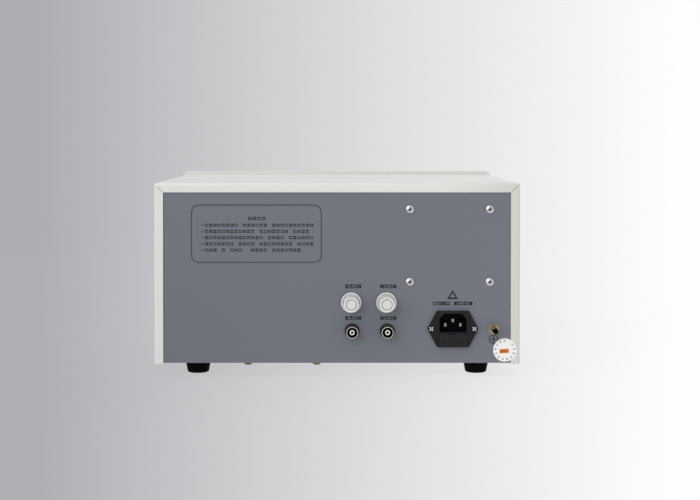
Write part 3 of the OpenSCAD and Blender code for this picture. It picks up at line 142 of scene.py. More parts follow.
# %% Light
def soft_lamp(name, place, aim, size, power, colour=(1.0, 1.0, 1.0)):
    """A square area lamp at a place, turned to look at a point."""
    data = bpy.data.lights.new(name, "AREA")
    data.size = size
    data.energy = power
    data.color = colour
    lamp = bpy.data.objects.new(name, data)
    bpy.context.scene.collection.objects.link(lamp)
    lamp.location = place
    away = Vector(aim) - lamp.location
    lamp.rotation_euler = away.to_track_quat("-Z", "Y").to_euler()


cool_white = (0.97, 0.98, 1.0, 1.0)
world = bpy.data.worlds.new("even_studio")
world.use_nodes = True
background = world.node_tree.nodes["Background"]
background.inputs["Color"].default_value = cool_white
background.inputs["Strength"].default_value = 0.68
bpy.context.scene.world = world
soft_lamp("key_lamp", place=(1.7, 2.4, 1.5), aim=(0.0, 0.1, 0.1), size=3.2, power=46.0)
soft_lamp("top_lamp", place=(0.4, -0.3, 2.4), aim=(0.0, 0.0, 0.1), size=2.4, power=5.0,
          colour=(0.95, 0.92, 1.0))
soft_lamp("front_lamp", place=(-1.3, -1.7, 2.3), aim=(0.0, -0.1, 0.1), size=1.6, power=9.0)
print("three lamps and an even world")

# %% [markdown]
# ## Finishes as sums
# A finish is a small network of nodes. Writing `0.4 + 0.1 * grain` is easier to read than linking math
# nodes by hand, so one small class wraps a socket and turns sums into nodes.

# %% Sockets that can be added and multiplied
class Wire:
    """One output socket of a node tree."""

    def __init__(self, tree, socket):
        self.tree = tree
        self.socket = socket

    def node(self, kind, settings=None, inputs=None, out=0):
        """Adds a node: its settings come first, then the values or the links of its sockets."""
        made = self.tree.nodes.new(kind)
        for key, value in (settings or {}).items():
            if key == "stops":
                ramp = made.color_ramp
                while len(ramp.elements) < len(value):
                    ramp.elements.new(0.5)
                for element, (place, colour) in zip(ramp.elements, value):
                    element.position = place
                    element.color = colour
            else:
                setattr(made, key, value)
        for key, value in (inputs or {}).items():
            if isinstance(value, Wire):
                self.tree.links.new(value.socket, made.inputs[key])
            else:
                made.inputs[key].default_value = value
        return Wire(self.tree, made.outputs[out])

    def sum(self, operation, first, second):
        return self.node("ShaderNodeMath", {"operation": operation}, {0: first, 1: second})

    def __add__(self, other):
        return self.sum("ADD", self, other)

    def __radd__(self, other):
        return self.sum("ADD", other, self)

    def __sub__(self, other):
        return self.sum("SUBTRACT", self, other)

    def __rsub__(self, other):
        return self.sum("SUBTRACT", other, self)

    def __mul__(self, other):
        return self.sum("MULTIPLY", self, other)

    def __rmul__(self, other):
        return self.sum("MULTIPLY", other, self)

    def __truediv__(self, other):
        return self.sum("DIVIDE", self, other)

    def __rtruediv__(self, other):
        return self.sum("DIVIDE", other, self)

    def __gt__(self, other):
        return self.sum("GREATER_THAN", self, other)

    def __lt__(self, other):
        return self.sum("LESS_THAN", self, other)

    def __abs__(self):
        return self.node("ShaderNodeMath", {"operation": "ABSOLUTE"}, {0: self})

    def at_least(self, least):
        return self.sum("MAXIMUM", self, least)

    def sine(self):
        return self.node("ShaderNodeMath", {"operation": "SINE"}, {0: self})

    def clamped(self):
        """The same value, held between 0 and 1."""
        return self.node("ShaderNodeClamp", None, {"Value": self})


print("sockets can be added and multiplied")

# %% [markdown]
# ## Colours and patterns
# Every pattern reads Object coordinates. The pieces sit at the origin, so those are real metres on the real
# object, and a grain of half a millimetre is half a millimetre on every part. Colours are given as a screen
# shows them, because that is how they are read off a photograph.

# %% Colours and patterns
def screen(red, green, blue):
    """A colour as a screen shows it, 0 to 255, in the linear values that shaders use."""
    values = [value / 255 for value in (red, green, blue)]
    linear = [value / 12.92 if value < 0.04045 else ((value + 0.055) / 1.055) ** 2.4 for value in values]
    return (*linear, 1.0)


def shade(colour, factor):
    """A lighter or darker tone of a colour."""
    return (*[min(1.0, value * factor) for value in colour[:3]], 1.0)


def new_finish(name):
    """An empty finish: its material, its shader and the wire of its Object coordinates."""
    material = bpy.data.materials.new(name)
    material.use_nodes = True
    tree = material.node_tree
    place = Wire(tree, tree.nodes.new("ShaderNodeTexCoord").outputs["Object"])
    return material, tree.nodes["Principled BSDF"], place


def feed(shader, socket, wire):
    wire.tree.links.new(wire.socket, shader.inputs[socket])


def axis(place, index):
    """One coordinate of a place."""
    return place.node("ShaderNodeSeparateXYZ", None, {"Vector": place}, out=index)


def speckle(place, size, stretch=(1.0, 1.0, 1.0), detail=3.0):
    """Noise whose blotches are about the given size, drawn out along an axis where stretch is small."""
    turned = place.node("ShaderNodeMapping", None, {"Vector": place, "Scale": stretch})
    return place.node("ShaderNodeTexNoise", None,
                      {"Vector": turned, "Scale": 1.0 / size, "Detail": detail, "Roughness": 0.55})


def blend(place, first, second, factor):
    """A colour between two others."""
    return place.node("ShaderNodeMix", {"data_type": "RGBA"}, {0: factor, 6: first, 7: second}, out=2)


def relief(place, height, depth, strength=1.0):
    """A bumpy normal from a height between 0 and 1 that stands for a depth in metres."""
    return place.node("ShaderNodeBump", None, {"Strength": strength, "Distance": depth, "Height": height})


print("finish tools ready")

# %% [markdown]
# ## Paint
# Sheet cases are powder coated: the coat has a fine orange-peel grain and its tone drifts a little over a
# large sheet. One noise gives the peel and a much larger one the drift. On one side, at the rear edge, the
# paint also carries painted shade, a darker and yellower tone. It comes in with two ramps, one across the
# case and one along it, and shows where both are high.

# %% Paint
# The painted shade starts here, towards the side of the mains inlet, and is full after the fade. It reaches
# this far forward from the lip.
side_shade_from_x, side_shade_fade = -100 * mm, 60 * mm
side_shade_depth = 30 * mm


def paint(name, colour, grain, depth, rough, side_shade=None):
    material, shader, place = new_finish(name)
    peel = speckle(place, grain)
    drift = speckle(place, 0.14, detail=1.0)
    tone = blend(place, shade(colour, 0.965), shade(colour, 1.03), peel * 0.45 + drift * 0.55)
    if side_shade:
        # painted shade: a darker, yellower tone on one side at the rear edge, where both ramps are high
        beside = ((axis(place, 0) - side_shade_from_x) / -side_shade_fade).clamped()
        behind = ((axis(place, 1) - lip_face) / side_shade_depth + 1.0).clamped()
        tone = blend(place, tone, side_shade, beside * behind)
    feed(shader, "Base Color", tone)
    feed(shader, "Roughness", rough - 0.06 + peel * 0.12)
    feed(shader, "Normal", relief(place, peel, depth, 0.5))
    return material


print("paint ready")

# %% [markdown]
# ## Plastic and rubber
# Moulded plastic has a spark-eroded grain, and rubber is dull and dusty. The dust on the feet is a noise
# multiplied by itself, which leaves it in a few patches.

# %% Plastic and rubber
def plastic(name, colour, rough, grain=0.4 * mm, gloss=0.5):
    material, shader, place = new_finish(name)
    spark = speckle(place, grain, detail=2.0)
    drift = speckle(place, 20 * mm, detail=1.0)
    tone = blend(place, shade(colour, 0.93), shade(colour, 1.06), spark * 0.4 + drift * 0.6)
    feed(shader, "Base Color", tone)
    feed(shader, "Roughness", rough - 0.05 + spark * 0.1)
    feed(shader, "Normal", relief(place, spark, 0.02 * mm, 0.4))
    shader.inputs["Specular IOR Level"].default_value = gloss
    return material


def moulded_rubber(name, colour):
    material, shader, place = new_finish(name)
    grain = speckle(place, 0.6 * mm)
    dust = speckle(place, 12 * mm, detail=5.0)
    feed(shader, "Base Color", blend(place, colour, shade(colour, 1.6), dust * dust))
    feed(shader, "Roughness", 0.62 + grain * 0.2)
    feed(shader, "Normal", relief(place, grain, 0.04 * mm, 0.6))
    shader.inputs["Specular IOR Level"].default_value = 0.06
    return material


print("plastic and rubber ready")

# %% [markdown]
# ## Metal
# Plated metal shows faint lines from the tool, so its noise is drawn out along one axis. The earth post and
# the contacts are turned brass that has been handled: stained in patches, with fine tool marks round it. The
# patches span a wide range of tone, so that they also act as painted highlights and painted dark reflections.

# %% Metal
def metal(name, colour, rough, stretch=(1.0, 0.05, 1.0)):
    material, shader, place = new_finish(name)
    lines = speckle(place, 0.3 * mm, stretch)
    stain = speckle(place, 6 * mm)
    tone = blend(place, shade(colour, 0.82), shade(colour, 1.1), lines * 0.5 + stain * 0.5)
    feed(shader, "Base Color", tone)
    feed(shader, "Roughness", rough - 0.08 + lines * 0.1 + stain * 0.1)
    feed(shader, "Normal", relief(place, lines, 0.01 * mm, 0.35))
    shader.inputs["Metallic"].default_value = 1.0
    return material


def turned_brass(name, colour):
    material, shader, place = new_finish(name)
    stain = speckle(place, 3.5 * mm)
    marks = speckle(place, 0.4 * mm, (1.0, 6.0, 1.0))
    # stains in patches that also serve as painted highlights and painted dark reflections
    tone = blend(place, shade(colour, 0.5), shade(colour, 1.4), stain * 0.8 + marks * 0.2)
    feed(shader, "Base Color", tone)
    feed(shader, "Roughness", 0.12 + stain * 0.16 + marks * 0.06)
    feed(shader, "Normal", relief(place, marks, 0.01 * mm, 0.4))
    shader.inputs["Metallic"].default_value = 1.0
    return material


print("metal ready")

# %% [markdown]
# ## Sweep paper
# The backdrop carries a painted fall-off of light: it darkens evenly from one side to the other, at every
# height the same. On the sheet, lines of one tone then spread like a fan from a point behind the case, where
# the camera stands: sideways distance over distance from that point.
# Close to the point the fan would be too steep, so its lines run on side by side and an even tone takes over.
# The fan is part of the sheet and stays where it is in every view. The sheet is lit from behind like a light
# table, which leaves only a faint shadow under the feet.

# %% Sweep finish
def light_table(name, dark, bright, fan_y, near_reach, fan_from, fan_width, glow):
    material, shader, place = new_finish(name)
    ahead = fan_y - axis(place, 1)
    reach = ahead.at_least(near_reach)
    step = (fan_from - axis(place, 0) / reach) / fan_width
    even = [(low + high) / 2 for low, high in zip(dark, bright)]
    near = (ahead - near_reach / 2) / (near_reach / 2)
    # painted fall-off of light, in the emitted colour and in the base colour alike
    for socket, share in (("Emission Color", 1.0), ("Base Color", 1.0 - glow)):
        fan = blend(place, shade(dark, share), shade(bright, share), step)
        feed(shader, socket, blend(place, shade(even, share), fan, near))
    shader.inputs["Emission Strength"].default_value = glow
    shader.inputs["Roughness"].default_value = 0.9
    shader.inputs["Specular IOR Level"].default_value = 0.0
    return material


sweep_paper = light_table("sweep_paper", dark=screen(175, 176, 180), bright=screen(255, 255, 255),
                          fan_y=rear_face + distance, near_reach=0.85, fan_from=0.2055, fan_width=0.4425,
                          glow=0.88)
sweep.data.materials.append(sweep_paper)
print("sweep lit")

# %% [markdown]
# ## Window and lamps
# The display window is smoked plastic that lets the digits behind it glimmer through. The three lamps are one
# part, so a ramp with hard steps runs across the row and gives each its own tint.

# %% Window and lamps
def smoked_window(name):
    material, shader, place = new_finish(name)
    haze = speckle(place, 50 * mm)
    feed(shader, "Base Color", blend(place, (0.012, 0.004, 0.004, 1.0), (0.03, 0.006, 0.006, 1.0), haze))
    feed(shader, "Roughness", 0.07 + haze * 0.06)
    feed(shader, "Alpha", 0.42 + haze * 0.06)
    shader.inputs["Coat Weight"].default_value = 0.6
    return material


def lamp_lens(name, first, pitch):
    material, shader, place = new_finish(name)
    step = (axis(place, 0) - (first - pitch / 2)) / (3 * pitch)
    green, amber, red = (0.02, 0.3, 0.06, 1.0), (0.55, 0.22, 0.01, 1.0), (0.5, 0.02, 0.015, 1.0)
    stops = [(0.0, green), (0.34, amber), (0.67, red)]
    tint = place.node("ShaderNodeValToRGB", {"stops": stops}, {"Fac": step})
    tint.socket.node.color_ramp.interpolation = "CONSTANT"
    feed(shader, "Base Color", tint)
    feed(shader, "Roughness", 0.16 + speckle(place, 2 * mm) * 0.08)
    shader.inputs["Coat Weight"].default_value = 0.4
    return material


lamp_lo, lamp_hi = corners("indicator_lamps")
lamp_radius = 3.3 * mm
# From the outside of the first lamp to the outside of the last is about 2.4 times their pitch.
pitches_in_row = 2.4
lamp_pitch = (lamp_hi[0] - lamp_lo[0]) / pitches_in_row
print("lamps from", round(lamp_lo[0], 4), "to", round(lamp_hi[0], 4))

# %% [markdown]
# ## Windings
# The windings are enamelled wire. They are plain rings and blocks in the solids, so a sine along the height
# gives them fine ridges, one for each layer of wire, and paints shade into the grooves between them.

# %% Windings
def winding(name, colour):
    material, shader, place = new_finish(name)
    wire_pitch = 1.1 * mm
    turns = (axis(place, 2) * (2 * math.pi / wire_pitch)).sine() * 0.5 + 0.5
    stain = speckle(place, 10 * mm)
    # painted shade in the grooves between turns, mixed with stains
    feed(shader, "Base Color", blend(place, shade(colour, 0.55), colour, turns * 0.6 + stain * 0.4))
    feed(shader, "Roughness", 0.3 + stain * 0.2)
    feed(shader, "Normal", relief(place, turns, 0.3 * mm, 0.8))
    shader.inputs["Metallic"].default_value = 0.6
    return material


print("windings ready")

# %% [markdown]
# ## Coaxial sleeves
# The coaxial sleeves carry painted light: a painted highlight at their mouths, painted shade inside, and
# outside a painted reflection of the dark room behind the lamps. The finish follows the distance from the
# sleeve's own axis, which is found from its box. Distances are left squared, which saves a node and compares
# just as well.

# %% Coaxial sleeves
def off_axis(place, centre):
    """Distance from a line along Y, squared."""
    across = axis(place, 0) - centre[0]
    up = axis(place, 2) - centre[1]
    return across * across + up * up


def coaxial_sleeve(name, node, bore, mouth, bright, painted_dim, dark):
    material, shader, place = new_finish(name)
    outside = off_axis(place, middle(node)) > bore * bore
    rim = axis(place, 1) > mouth
    stain = speckle(place, 2 * mm)
    side = blend(place, painted_dim, shade(painted_dim, 2.0), stain)
    # painted shade in the bore, painted highlight at the mouth's rim, painted dark reflection outside
    feed(shader, "Base Color", blend(place, dark, blend(place, side, bright, rim), outside))
    feed(shader, "Roughness", 0.22 + stain * 0.12)
    shader.inputs["Metallic"].default_value = 1.0
    return material


mouth_rim = corners("x_output_socket")[1][1] - 0.7 * mm
print("sleeves are bright beyond", round(mouth_rim, 4))

# %% [markdown]
# ## Gain knobs
# A gain knob has a disc let into its top with a groove round it, and flutes that end above a skirt. The
# groove and the place where the flutes meet the skirt get painted shade, a darker tone of the cream.

# %% Gain knobs
def capped_knob(name, node, cap, groove, rim, skirt, colour):
    material, shader, place = new_finish(name)
    base_y, top_y = [corner[1] for corner in corners(node)]
    below_top = axis(place, 1) < top_y - 0.2 * mm
    away = off_axis(place, middle(node))
    inside = away < cap * cap
    # painted shade in the groove round the disc and in the dish where the flutes meet the skirt
    groove_shade = (away < groove * groove) * (away > cap * cap) * below_top
    groove_shade = groove_shade + (away < rim * rim) * (axis(place, 1) < base_y + skirt)
    grain = speckle(place, 0.5 * mm, detail=2.0)
    tone = blend(place, shade(colour, 0.95), shade(colour, 1.05), grain)
    tone = blend(place, tone, shade(colour, 0.93), inside)
    feed(shader, "Base Color", blend(place, tone, shade(colour, 0.68), groove_shade))
    feed(shader, "Roughness", 0.36 + grain * 0.1)
    feed(shader, "Normal", relief(place, grain, 0.02 * mm, 0.4))
    return material


print("knob finish ready")

# %% [markdown]
# ## Panel screws
# The screws in the panel are bright, and the floors of their cross recesses get painted shade. The four are
# one part with a head at each corner of its box, so the painted shade is kept to four small circles there.

# %% Panel screws
def cross_screws(name, node, head, colour, dark):
    material, shader, place = new_finish(name)
    lo, hi = corners(node)
    recess_radius = head * 0.31
    recess = axis(place, 1) < hi[1] - 0.6 * mm
    near = 0.0
    for x in (lo[0] + head / 2, hi[0] - head / 2):
        for z in (lo[2] + head / 2, hi[2] - head / 2):
            near = near + (off_axis(place, (x, z)) < recess_radius ** 2)
    stain = speckle(place, 3 * mm)
    tone = blend(place, shade(colour, 0.85), shade(colour, 1.1), stain)
    # painted shade on the floors of the cross recesses
    feed(shader, "Base Color", blend(place, tone, dark, near * recess))
    feed(shader, "Roughness", 0.26 + stain * 0.12)
    shader.inputs["Metallic"].default_value = 1.0
    return material


print("screw finish ready")

# %% [markdown]
# ## Mains inlet
# The plug cavity gets painted shade: the moulding is darker inside a box behind its face. The three contact
# pins are bright on their flat ends and get painted shade towards the chamfers above and below. The middle
# pin stands higher than the other two, so the row's height depends on how far a point is from the middle.

# %% Mains inlet
def shaded_socket(name, node, colour, dark, width, height, up):
    material, shader, place = new_finish(name)
    centre = middle(node)
    face_y = corners(node)[1][1]
    wall_slack = 0.05 * mm
    across = abs(axis(place, 0) - centre[0])
    rise = abs(axis(place, 2) - (centre[1] + up))
    inside = (across < width / 2 + wall_slack) * (rise < height / 2 + wall_slack)
    inside = inside * (axis(place, 1) < face_y - 0.3 * mm)
    grain = speckle(place, 0.4 * mm, detail=2.0)
    tone = blend(place, shade(colour, 0.9), shade(colour, 1.1), grain)
    # painted shade inside the plug cavity
    feed(shader, "Base Color", blend(place, tone, dark, inside))
    feed(shader, "Roughness", 0.42 + grain * 0.1 + inside * 0.3)
    feed(shader, "Normal", relief(place, grain, 0.02 * mm, 0.4))
    shader.inputs["Specular IOR Level"].default_value = 0.22
    return material


def blade_pins(name, node, pin_height, bright, painted_dim):
    material, shader, place = new_finish(name)
    low, high = [corner[2] for corner in corners(node)]
    is_middle = abs(axis(place, 0) - middle(node)[0]) < 4.0 * mm
    row = is_middle * (high - low - pin_height) + (low + pin_height / 2)
    rise = abs(axis(place, 2) - row)
    stain = speckle(place, 2 * mm)
    tone = blend(place, shade(bright, 0.85), shade(bright, 1.1), stain)
    # painted shade on the pins towards their chamfers
    feed(shader, "Base Color", blend(place, tone, painted_dim, rise > pin_height * 0.33))
    feed(shader, "Roughness", 0.3 + stain * 0.12)
    shader.inputs["Metallic"].default_value = 1.0
    return material


print("inlet finishes ready")

# %% [markdown]
# ## Finishes by slot
# The record gives each part a material slot. One finish is made for each slot, and all the colours stand in
# one table, so that they can be set side by side.

# %% Finishes by slot
along_x, along_z = (0.05, 1.0, 1.0), (1.0, 1.0, 0.05)
finishes = {
    "case_paint": paint("cream_paint", screen(228, 228, 222), grain=0.6 * mm, depth=0.05 * mm, rough=0.46,
                        # painted shade on one side at the rear edge
                        side_shade=screen(213, 210, 202)),
    "panel_paint": paint("slate_paint", screen(109, 113, 122), grain=0.5 * mm, depth=0.03 * mm, rough=0.5),
    "zinc_plate": metal("zinc_plate", screen(190, 192, 196), rough=0.38, stretch=along_x),
    "rubber": moulded_rubber("foot_rubber", screen(4, 4, 7)),
    "nickel": metal("nickel_plate", screen(212, 209, 202), rough=0.27),
    "fuse_glass": plastic("fuse_glass", screen(200, 208, 206), rough=0.12),
    "brass": turned_brass("turned_brass", screen(172, 158, 120)),
    "yellow_zinc": metal("yellow_zinc", screen(142, 114, 62), rough=0.33),
    "knob_plastic": plastic("knob_plastic", screen(222, 222, 215), rough=0.42),
    "black_plastic": plastic("black_plastic", screen(24, 23, 28), rough=0.45, gloss=0.25),
    "insulator": plastic("white_insulator", screen(238, 238, 234), rough=0.35),
    "smoked_window": smoked_window("smoked_window"),
    "lamp": lamp_lens("lamp_lens", lamp_lo[0] + lamp_radius, lamp_pitch),
    "circuit_board": plastic("solder_mask", screen(24, 92, 58), rough=0.3, grain=2 * mm),
    "components": plastic("component_bodies", screen(70, 72, 76), rough=0.45, grain=1 * mm),
    "green_plastic": plastic("green_plastic", screen(30, 130, 62), rough=0.3),
    "red_plastic": plastic("red_plastic", screen(176, 30, 26), rough=0.3),
    "copper_winding": winding("enamelled_wire", screen(176, 98, 52)),
    "core_steel": metal("core_laminations", screen(110, 112, 116), rough=0.5, stretch=along_z),
}
print(len(finishes), "finishes for slots")

# %% [markdown]
# ## Finishes of single parts
# A few parts share a slot with others and still look different, because of where they sit: most of these
# finishes paint light or shade onto them. They get finishes of their own, in the sizes of the solids. The
# parts themselves are not touched.

# %% Dress the CAD parts
special = {
    "signal_board_screws": cross_screws("panel_screw", "signal_board_screws", head=7.2 * mm,
                                        colour=screen(222, 220, 216), dark=screen(86, 82, 72)),
    "inlet_housing": shaded_socket("inlet_black", "inlet_housing", screen(25, 24, 29), screen(3, 3, 4),
                                   width=25.4 * mm, height=17.4 * mm, up=5.8 * mm),
    "inlet_screws": metal("dark_screw", screen(48, 47, 50), rough=0.4),
    "inlet_pins": blade_pins("shaded_pin", "inlet_pins", pin_height=4.0 * mm, bright=screen(158, 158, 160),
                             painted_dim=screen(58, 58, 60)),
    # painted shade: the contacts far inside the sockets get a dark tone
    "socket_contacts": metal("shaded_contact", screen(52, 46, 38), rough=0.4),
    # painted shade: the bezel gets a darker cream than the case
    "front_bezel": paint("bezel_cream", screen(219, 217, 212), grain=0.6 * mm, depth=0.04 * mm, rough=0.44),
    # a black cap whose near-black, almost glossless tone also paints the shade on the end of the stud
    "earth_tip": plastic("stud_tip", screen(5, 5, 6), rough=0.6, gloss=0.05),
}
for letter in ("x", "y"):
    knob = f"{letter}_gain_knob"
    socket = f"{letter}_output_socket"
    special[knob] = capped_knob(f"{letter}_knob_cream", knob, cap=4.3 * mm, groove=5.2 * mm, rim=8.3 * mm,
                                skirt=2.9 * mm, colour=screen(228, 228, 222))
    special[socket] = coaxial_sleeve(f"{letter}_sleeve_nickel", socket, bore=4.8 * mm, mouth=mouth_rim,
                                     bright=screen(206, 199, 178), painted_dim=screen(62, 58, 50),
                                     dark=screen(7, 7, 8))
for entry in frame["record"]["subparts"]:
    part = frame["nodes"][entry["node"]]
    if not part.material_slots:
        part.data.materials.append(None)
    for place in part.material_slots:
        place.material = special.get(entry["node"], finishes[entry["material_slot"]])
print(len(finishes) + len(special), "finishes on", len(frame["nodes"]), "parts")

# %% [markdown]
# ## Printed marks
# Print on a panel is a skin of ink. It could be painted by the material, but then its edges would be as
# coarse as the noise that draws it. Thin plates cut to the outline stay crisp from any distance. Each mark
# starts as a flat bar or disc round the origin. What repeats is modelled once and then copied.

# %% Shapes of flat marks
def activate(piece):
    begin()
    piece.select_set(True)
    bpy.context.view_layer.objects.active = piece


def bar(width, height, corner):
    """A flat bar with rounded corners."""
    begin()
    bpy.ops.mesh.primitive_plane_add(size=1.0)
    piece = bpy.context.object
    piece.scale = (width, height, 1.0)
    bpy.ops.object.transform_apply(location=False, rotation=False, scale=True)
    bpy.ops.object.mode_set(mode="EDIT")
    bpy.ops.mesh.select_all(action="SELECT")
    bpy.ops.mesh.bevel(offset=corner, segments=3, affect="VERTICES")
    bpy.ops.object.mode_set(mode="OBJECT")
    return piece


def disc(radius, sides=40):
    begin()
    bpy.ops.mesh.primitive_circle_add(vertices=sides, radius=radius, fill_type="NGON")
    return bpy.context.object


def hollow(piece, line):
    """Turns a flat face into an outline of the given line width."""
    activate(piece)
    bpy.ops.object.mode_set(mode="EDIT")
    bpy.ops.mesh.select_all(action="SELECT")
    bpy.ops.mesh.inset(thickness=line)
    bpy.ops.mesh.delete(type="FACE")
    bpy.ops.object.mode_set(mode="OBJECT")
    return piece


def copy_of(piece):
    """A copy of a mark, with a mesh of its own."""
    activate(piece)
    bpy.ops.object.duplicate()
    return bpy.context.object


def discard(pieces):
    """Deletes the models that copies were made from."""
    begin()
    for piece in pieces:
        piece.select_set(True)
    bpy.ops.object.delete()


print("mark shapes ready")

# %% [markdown]
# ## Placing the marks
# A mark is moved about while it lies flat, joined with its neighbours into one piece, given the thickness of
# ink with Solidify, and then stood up against its panel. Places on the rear are given as seen from behind, u
# to the right and v up, so u runs against X there.

# %% Places of flat marks
ink_skin = 0.05 * mm


def shift(piece, x, y, turn=0.0):
    """Moves and turns a mark in its own plane."""
    activate(piece)
    piece.location = (x, y, 0.0)
    piece.rotation_euler = (0.0, 0.0, turn)
    bpy.ops.object.transform_apply(location=True, rotation=True, scale=False)
    return piece


def join(name, pieces):
    begin()
    for piece in pieces:
        piece.select_set(True)
    bpy.context.view_layer.objects.active = pieces[0]
    if len(pieces) > 1:
        bpy.ops.object.join()
    pieces[0].name = name
    return pieces[0]


def dress(piece, finish):
    piece.data.materials.clear()
    piece.data.materials.append(finish)
    return piece


def stand(piece, side, u, v, lift, skin=ink_skin, body="chassis"):
    """Gives a flat mark its thickness and stands it on a panel, u to the right and v up."""
    activate(piece)
    ink = piece.modifiers.new("ink", "SOLIDIFY")
    ink.thickness = skin
    ink.offset = -1.0
    bpy.ops.object.modifier_apply(modifier=ink.name)
    if side == "rear":
        piece.location = (-u, rear_face + lift, v)
        piece.rotation_euler = (math.pi / 2, 0.0, math.pi)
    else:
        piece.location = (u, front_face - lift, v)
        piece.rotation_euler = (math.pi / 2, 0.0, 0.0)
    bpy.ops.object.transform_apply(location=True, rotation=True, scale=False)
    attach(piece, body)
    return piece


print("mark places ready")

# %% [markdown]
# ## Lines of print
# At this size print reads as rows of small dark blocks. Two bars, or four dots, are about as dense as a
# printed character and say nothing. Four such blocks, used in turn, keep a row from looking like a comb. A
# row is written as a string: a letter picks a block and a space leaves a gap.

# %% Blocks of print
ink_dark = plastic("printing_ink", screen(10, 10, 14), rough=0.6, grain=0.8 * mm)
ink_frame = plastic("frame_ink", screen(68, 65, 73), rough=0.6, grain=0.8 * mm)
ink_height = 0.07 * mm
off, dash, dot = 0.27, 0.9, 0.36
block_strokes = {
    "a": ((0.0, -off, dash, 0), (0.0, off, dash, 0)),
    "b": ((-off, -off, dot, 0), (off, -off, dot, 0), (-off, off, dot, 0), (off, off, dot, 0)),
    "c": ((-off, 0.0, dash, 1), (off, 0.0, dash, 1)),
    "d": ((0.0, off, dash, 0), (-off, -off, dot, 0), (off, -off, dot, 0)),
    "i": ((0.0, 0.0, dot, 0),),
}


def print_block(letter, width, height, weight):
    """A block of strokes: each has its place, its length and whether it stands up."""
    strokes = []
    for x, y, length, upright in block_strokes[letter]:
        reach = length * (height if upright else width)
        stroke = bar(reach, height * weight, height * 0.05)
        strokes.append(shift(stroke, x * width, y * height, math.pi / 2 * upright))
    return join("block", strokes)


def print_row(text, pitch, height, weight=0.36):
    """A row of blocks, centred on the origin."""
    block_width = pitch * 0.86
    letters = sorted(set(text) - {" "})
    models = {letter: print_block(letter, block_width, height, weight) for letter in letters}
    blocks = []
    for place, letter in enumerate(text):
        if letter != " ":
            blocks.append(shift(copy_of(models[letter]), (place - (len(text) - 1) / 2) * pitch, 0.0))
    discard(models.values())
    return join("row", blocks)


print("blocks", "".join(block_strokes))

# %% [markdown]
# ## Notes and labels on the rear
# The notes stand in a frame with round corners, a bar that is hollowed out. Below a short heading come five
# rows, each with a dot in front. Every control has a short label above it, and the inlet a longer one.

# %% Rear notes and labels
notes_left, notes_right = -135.7 * mm, -14.0 * mm
notes_low, notes_high = 105.9 * mm, 160.2 * mm
notes_frame = hollow(bar(notes_right - notes_left, notes_high - notes_low, 6.8 * mm), 1.1 * mm)
stand(dress(notes_frame, ink_frame), "rear", (notes_left + notes_right) / 2, (notes_low + notes_high) / 2,
      ink_height).name = "notes_frame"

note_text = (
    "ibacbdacb dacbda acdbacbdac",
    "idcadbcadbcad dbcadbc bcad ",
    "iabdcabdcabdcab dcab dabcdb",
    "icdbcadb acbd cabdcabd cbda",
    "ibca d bcb  cadb dcabdca   ",
)
notes_u, notes_v = -74.3 * mm, 133.0 * mm
heading_up, first_row_up, row_step = 14.2 * mm, 8.0 * mm, 5.8 * mm
rows = [shift(print_row("cabd", pitch=4.3 * mm, height=3.4 * mm), 0.0, heading_up)]
for index, text in enumerate(note_text):
    row = print_row(text, pitch=3.9 * mm, height=3.2 * mm)
    rows.append(shift(row, 0.0, first_row_up - row_step * index))
notes_lines = join("notes_lines", rows)
stand(dress(notes_lines, ink_dark), "rear", notes_u, notes_v, ink_height)

label_weight = 0.42
above_knobs, above_sockets = 84.1 * mm, 54.5 * mm
labels = []
for u, first in ((15.0 * mm, "a"), (47.7 * mm, "c")):
    for v in (above_knobs, above_sockets):
        label = print_row(first + "dbc", pitch=3.9 * mm, height=3.7 * mm, weight=label_weight)
        labels.append(shift(label, u, v))
inlet_label = print_row("bdacab cdbadc", pitch=2.85 * mm, height=3.6 * mm, weight=label_weight)
labels.append(shift(inlet_label, 107.3 * mm, 68.2 * mm))
rear_labels = join("rear_labels", labels)
stand(dress(rear_labels, ink_dark), "rear", 0.0, 0.0, ink_height)
print("print:", len(notes_lines.data.polygons) + len(rear_labels.data.polygons), "faces")

# %% [markdown]
# ## Signs
# The plain triangle and the earth sign are outlines: a filled polygon is inset by the width of its line and
# its middle is taken away. The earth sign's strokes are bars that shorten downwards.

# %% Triangle and earth sign
triangle_u, triangle_v = 107.5 * mm, 75.1 * mm
triangle = hollow(disc(5.7 * mm, sides=3), 1.4 * mm)
stand(dress(triangle, ink_dark), "rear", triangle_u, triangle_v, ink_height).name = "inlet_sign"
earth_u, earth_v = 145.6 * mm, 35.0 * mm
sign_corner = 0.1 * mm
first_stroke_up, stroke_step = 0.1 * mm, 1.3 * mm
stem = bar(0.8 * mm, 3.6 * mm, sign_corner)
strokes = [hollow(disc(4.4 * mm), 0.8 * mm), shift(stem, 0.0, 1.9 * mm)]
for index, length in enumerate((5.6 * mm, 3.8 * mm, 1.9 * mm)):
    stroke = bar(length, 0.75 * mm, sign_corner)
    strokes.append(shift(stroke, 0.0, first_stroke_up - stroke_step * index))
earth_sign = join("earth_sign", strokes)
stand(dress(earth_sign, ink_dark), "rear", earth_u, earth_v, ink_height)
print("signs made")

# %% [markdown]
# ## Thread on the earth post
# The stud of the earth post is threaded. Rings would do from afar, but a real thread climbs, so a small
# triangle is swept round the stud by the Screw modifier, one pitch for each turn. Its two ends are then
# closed.

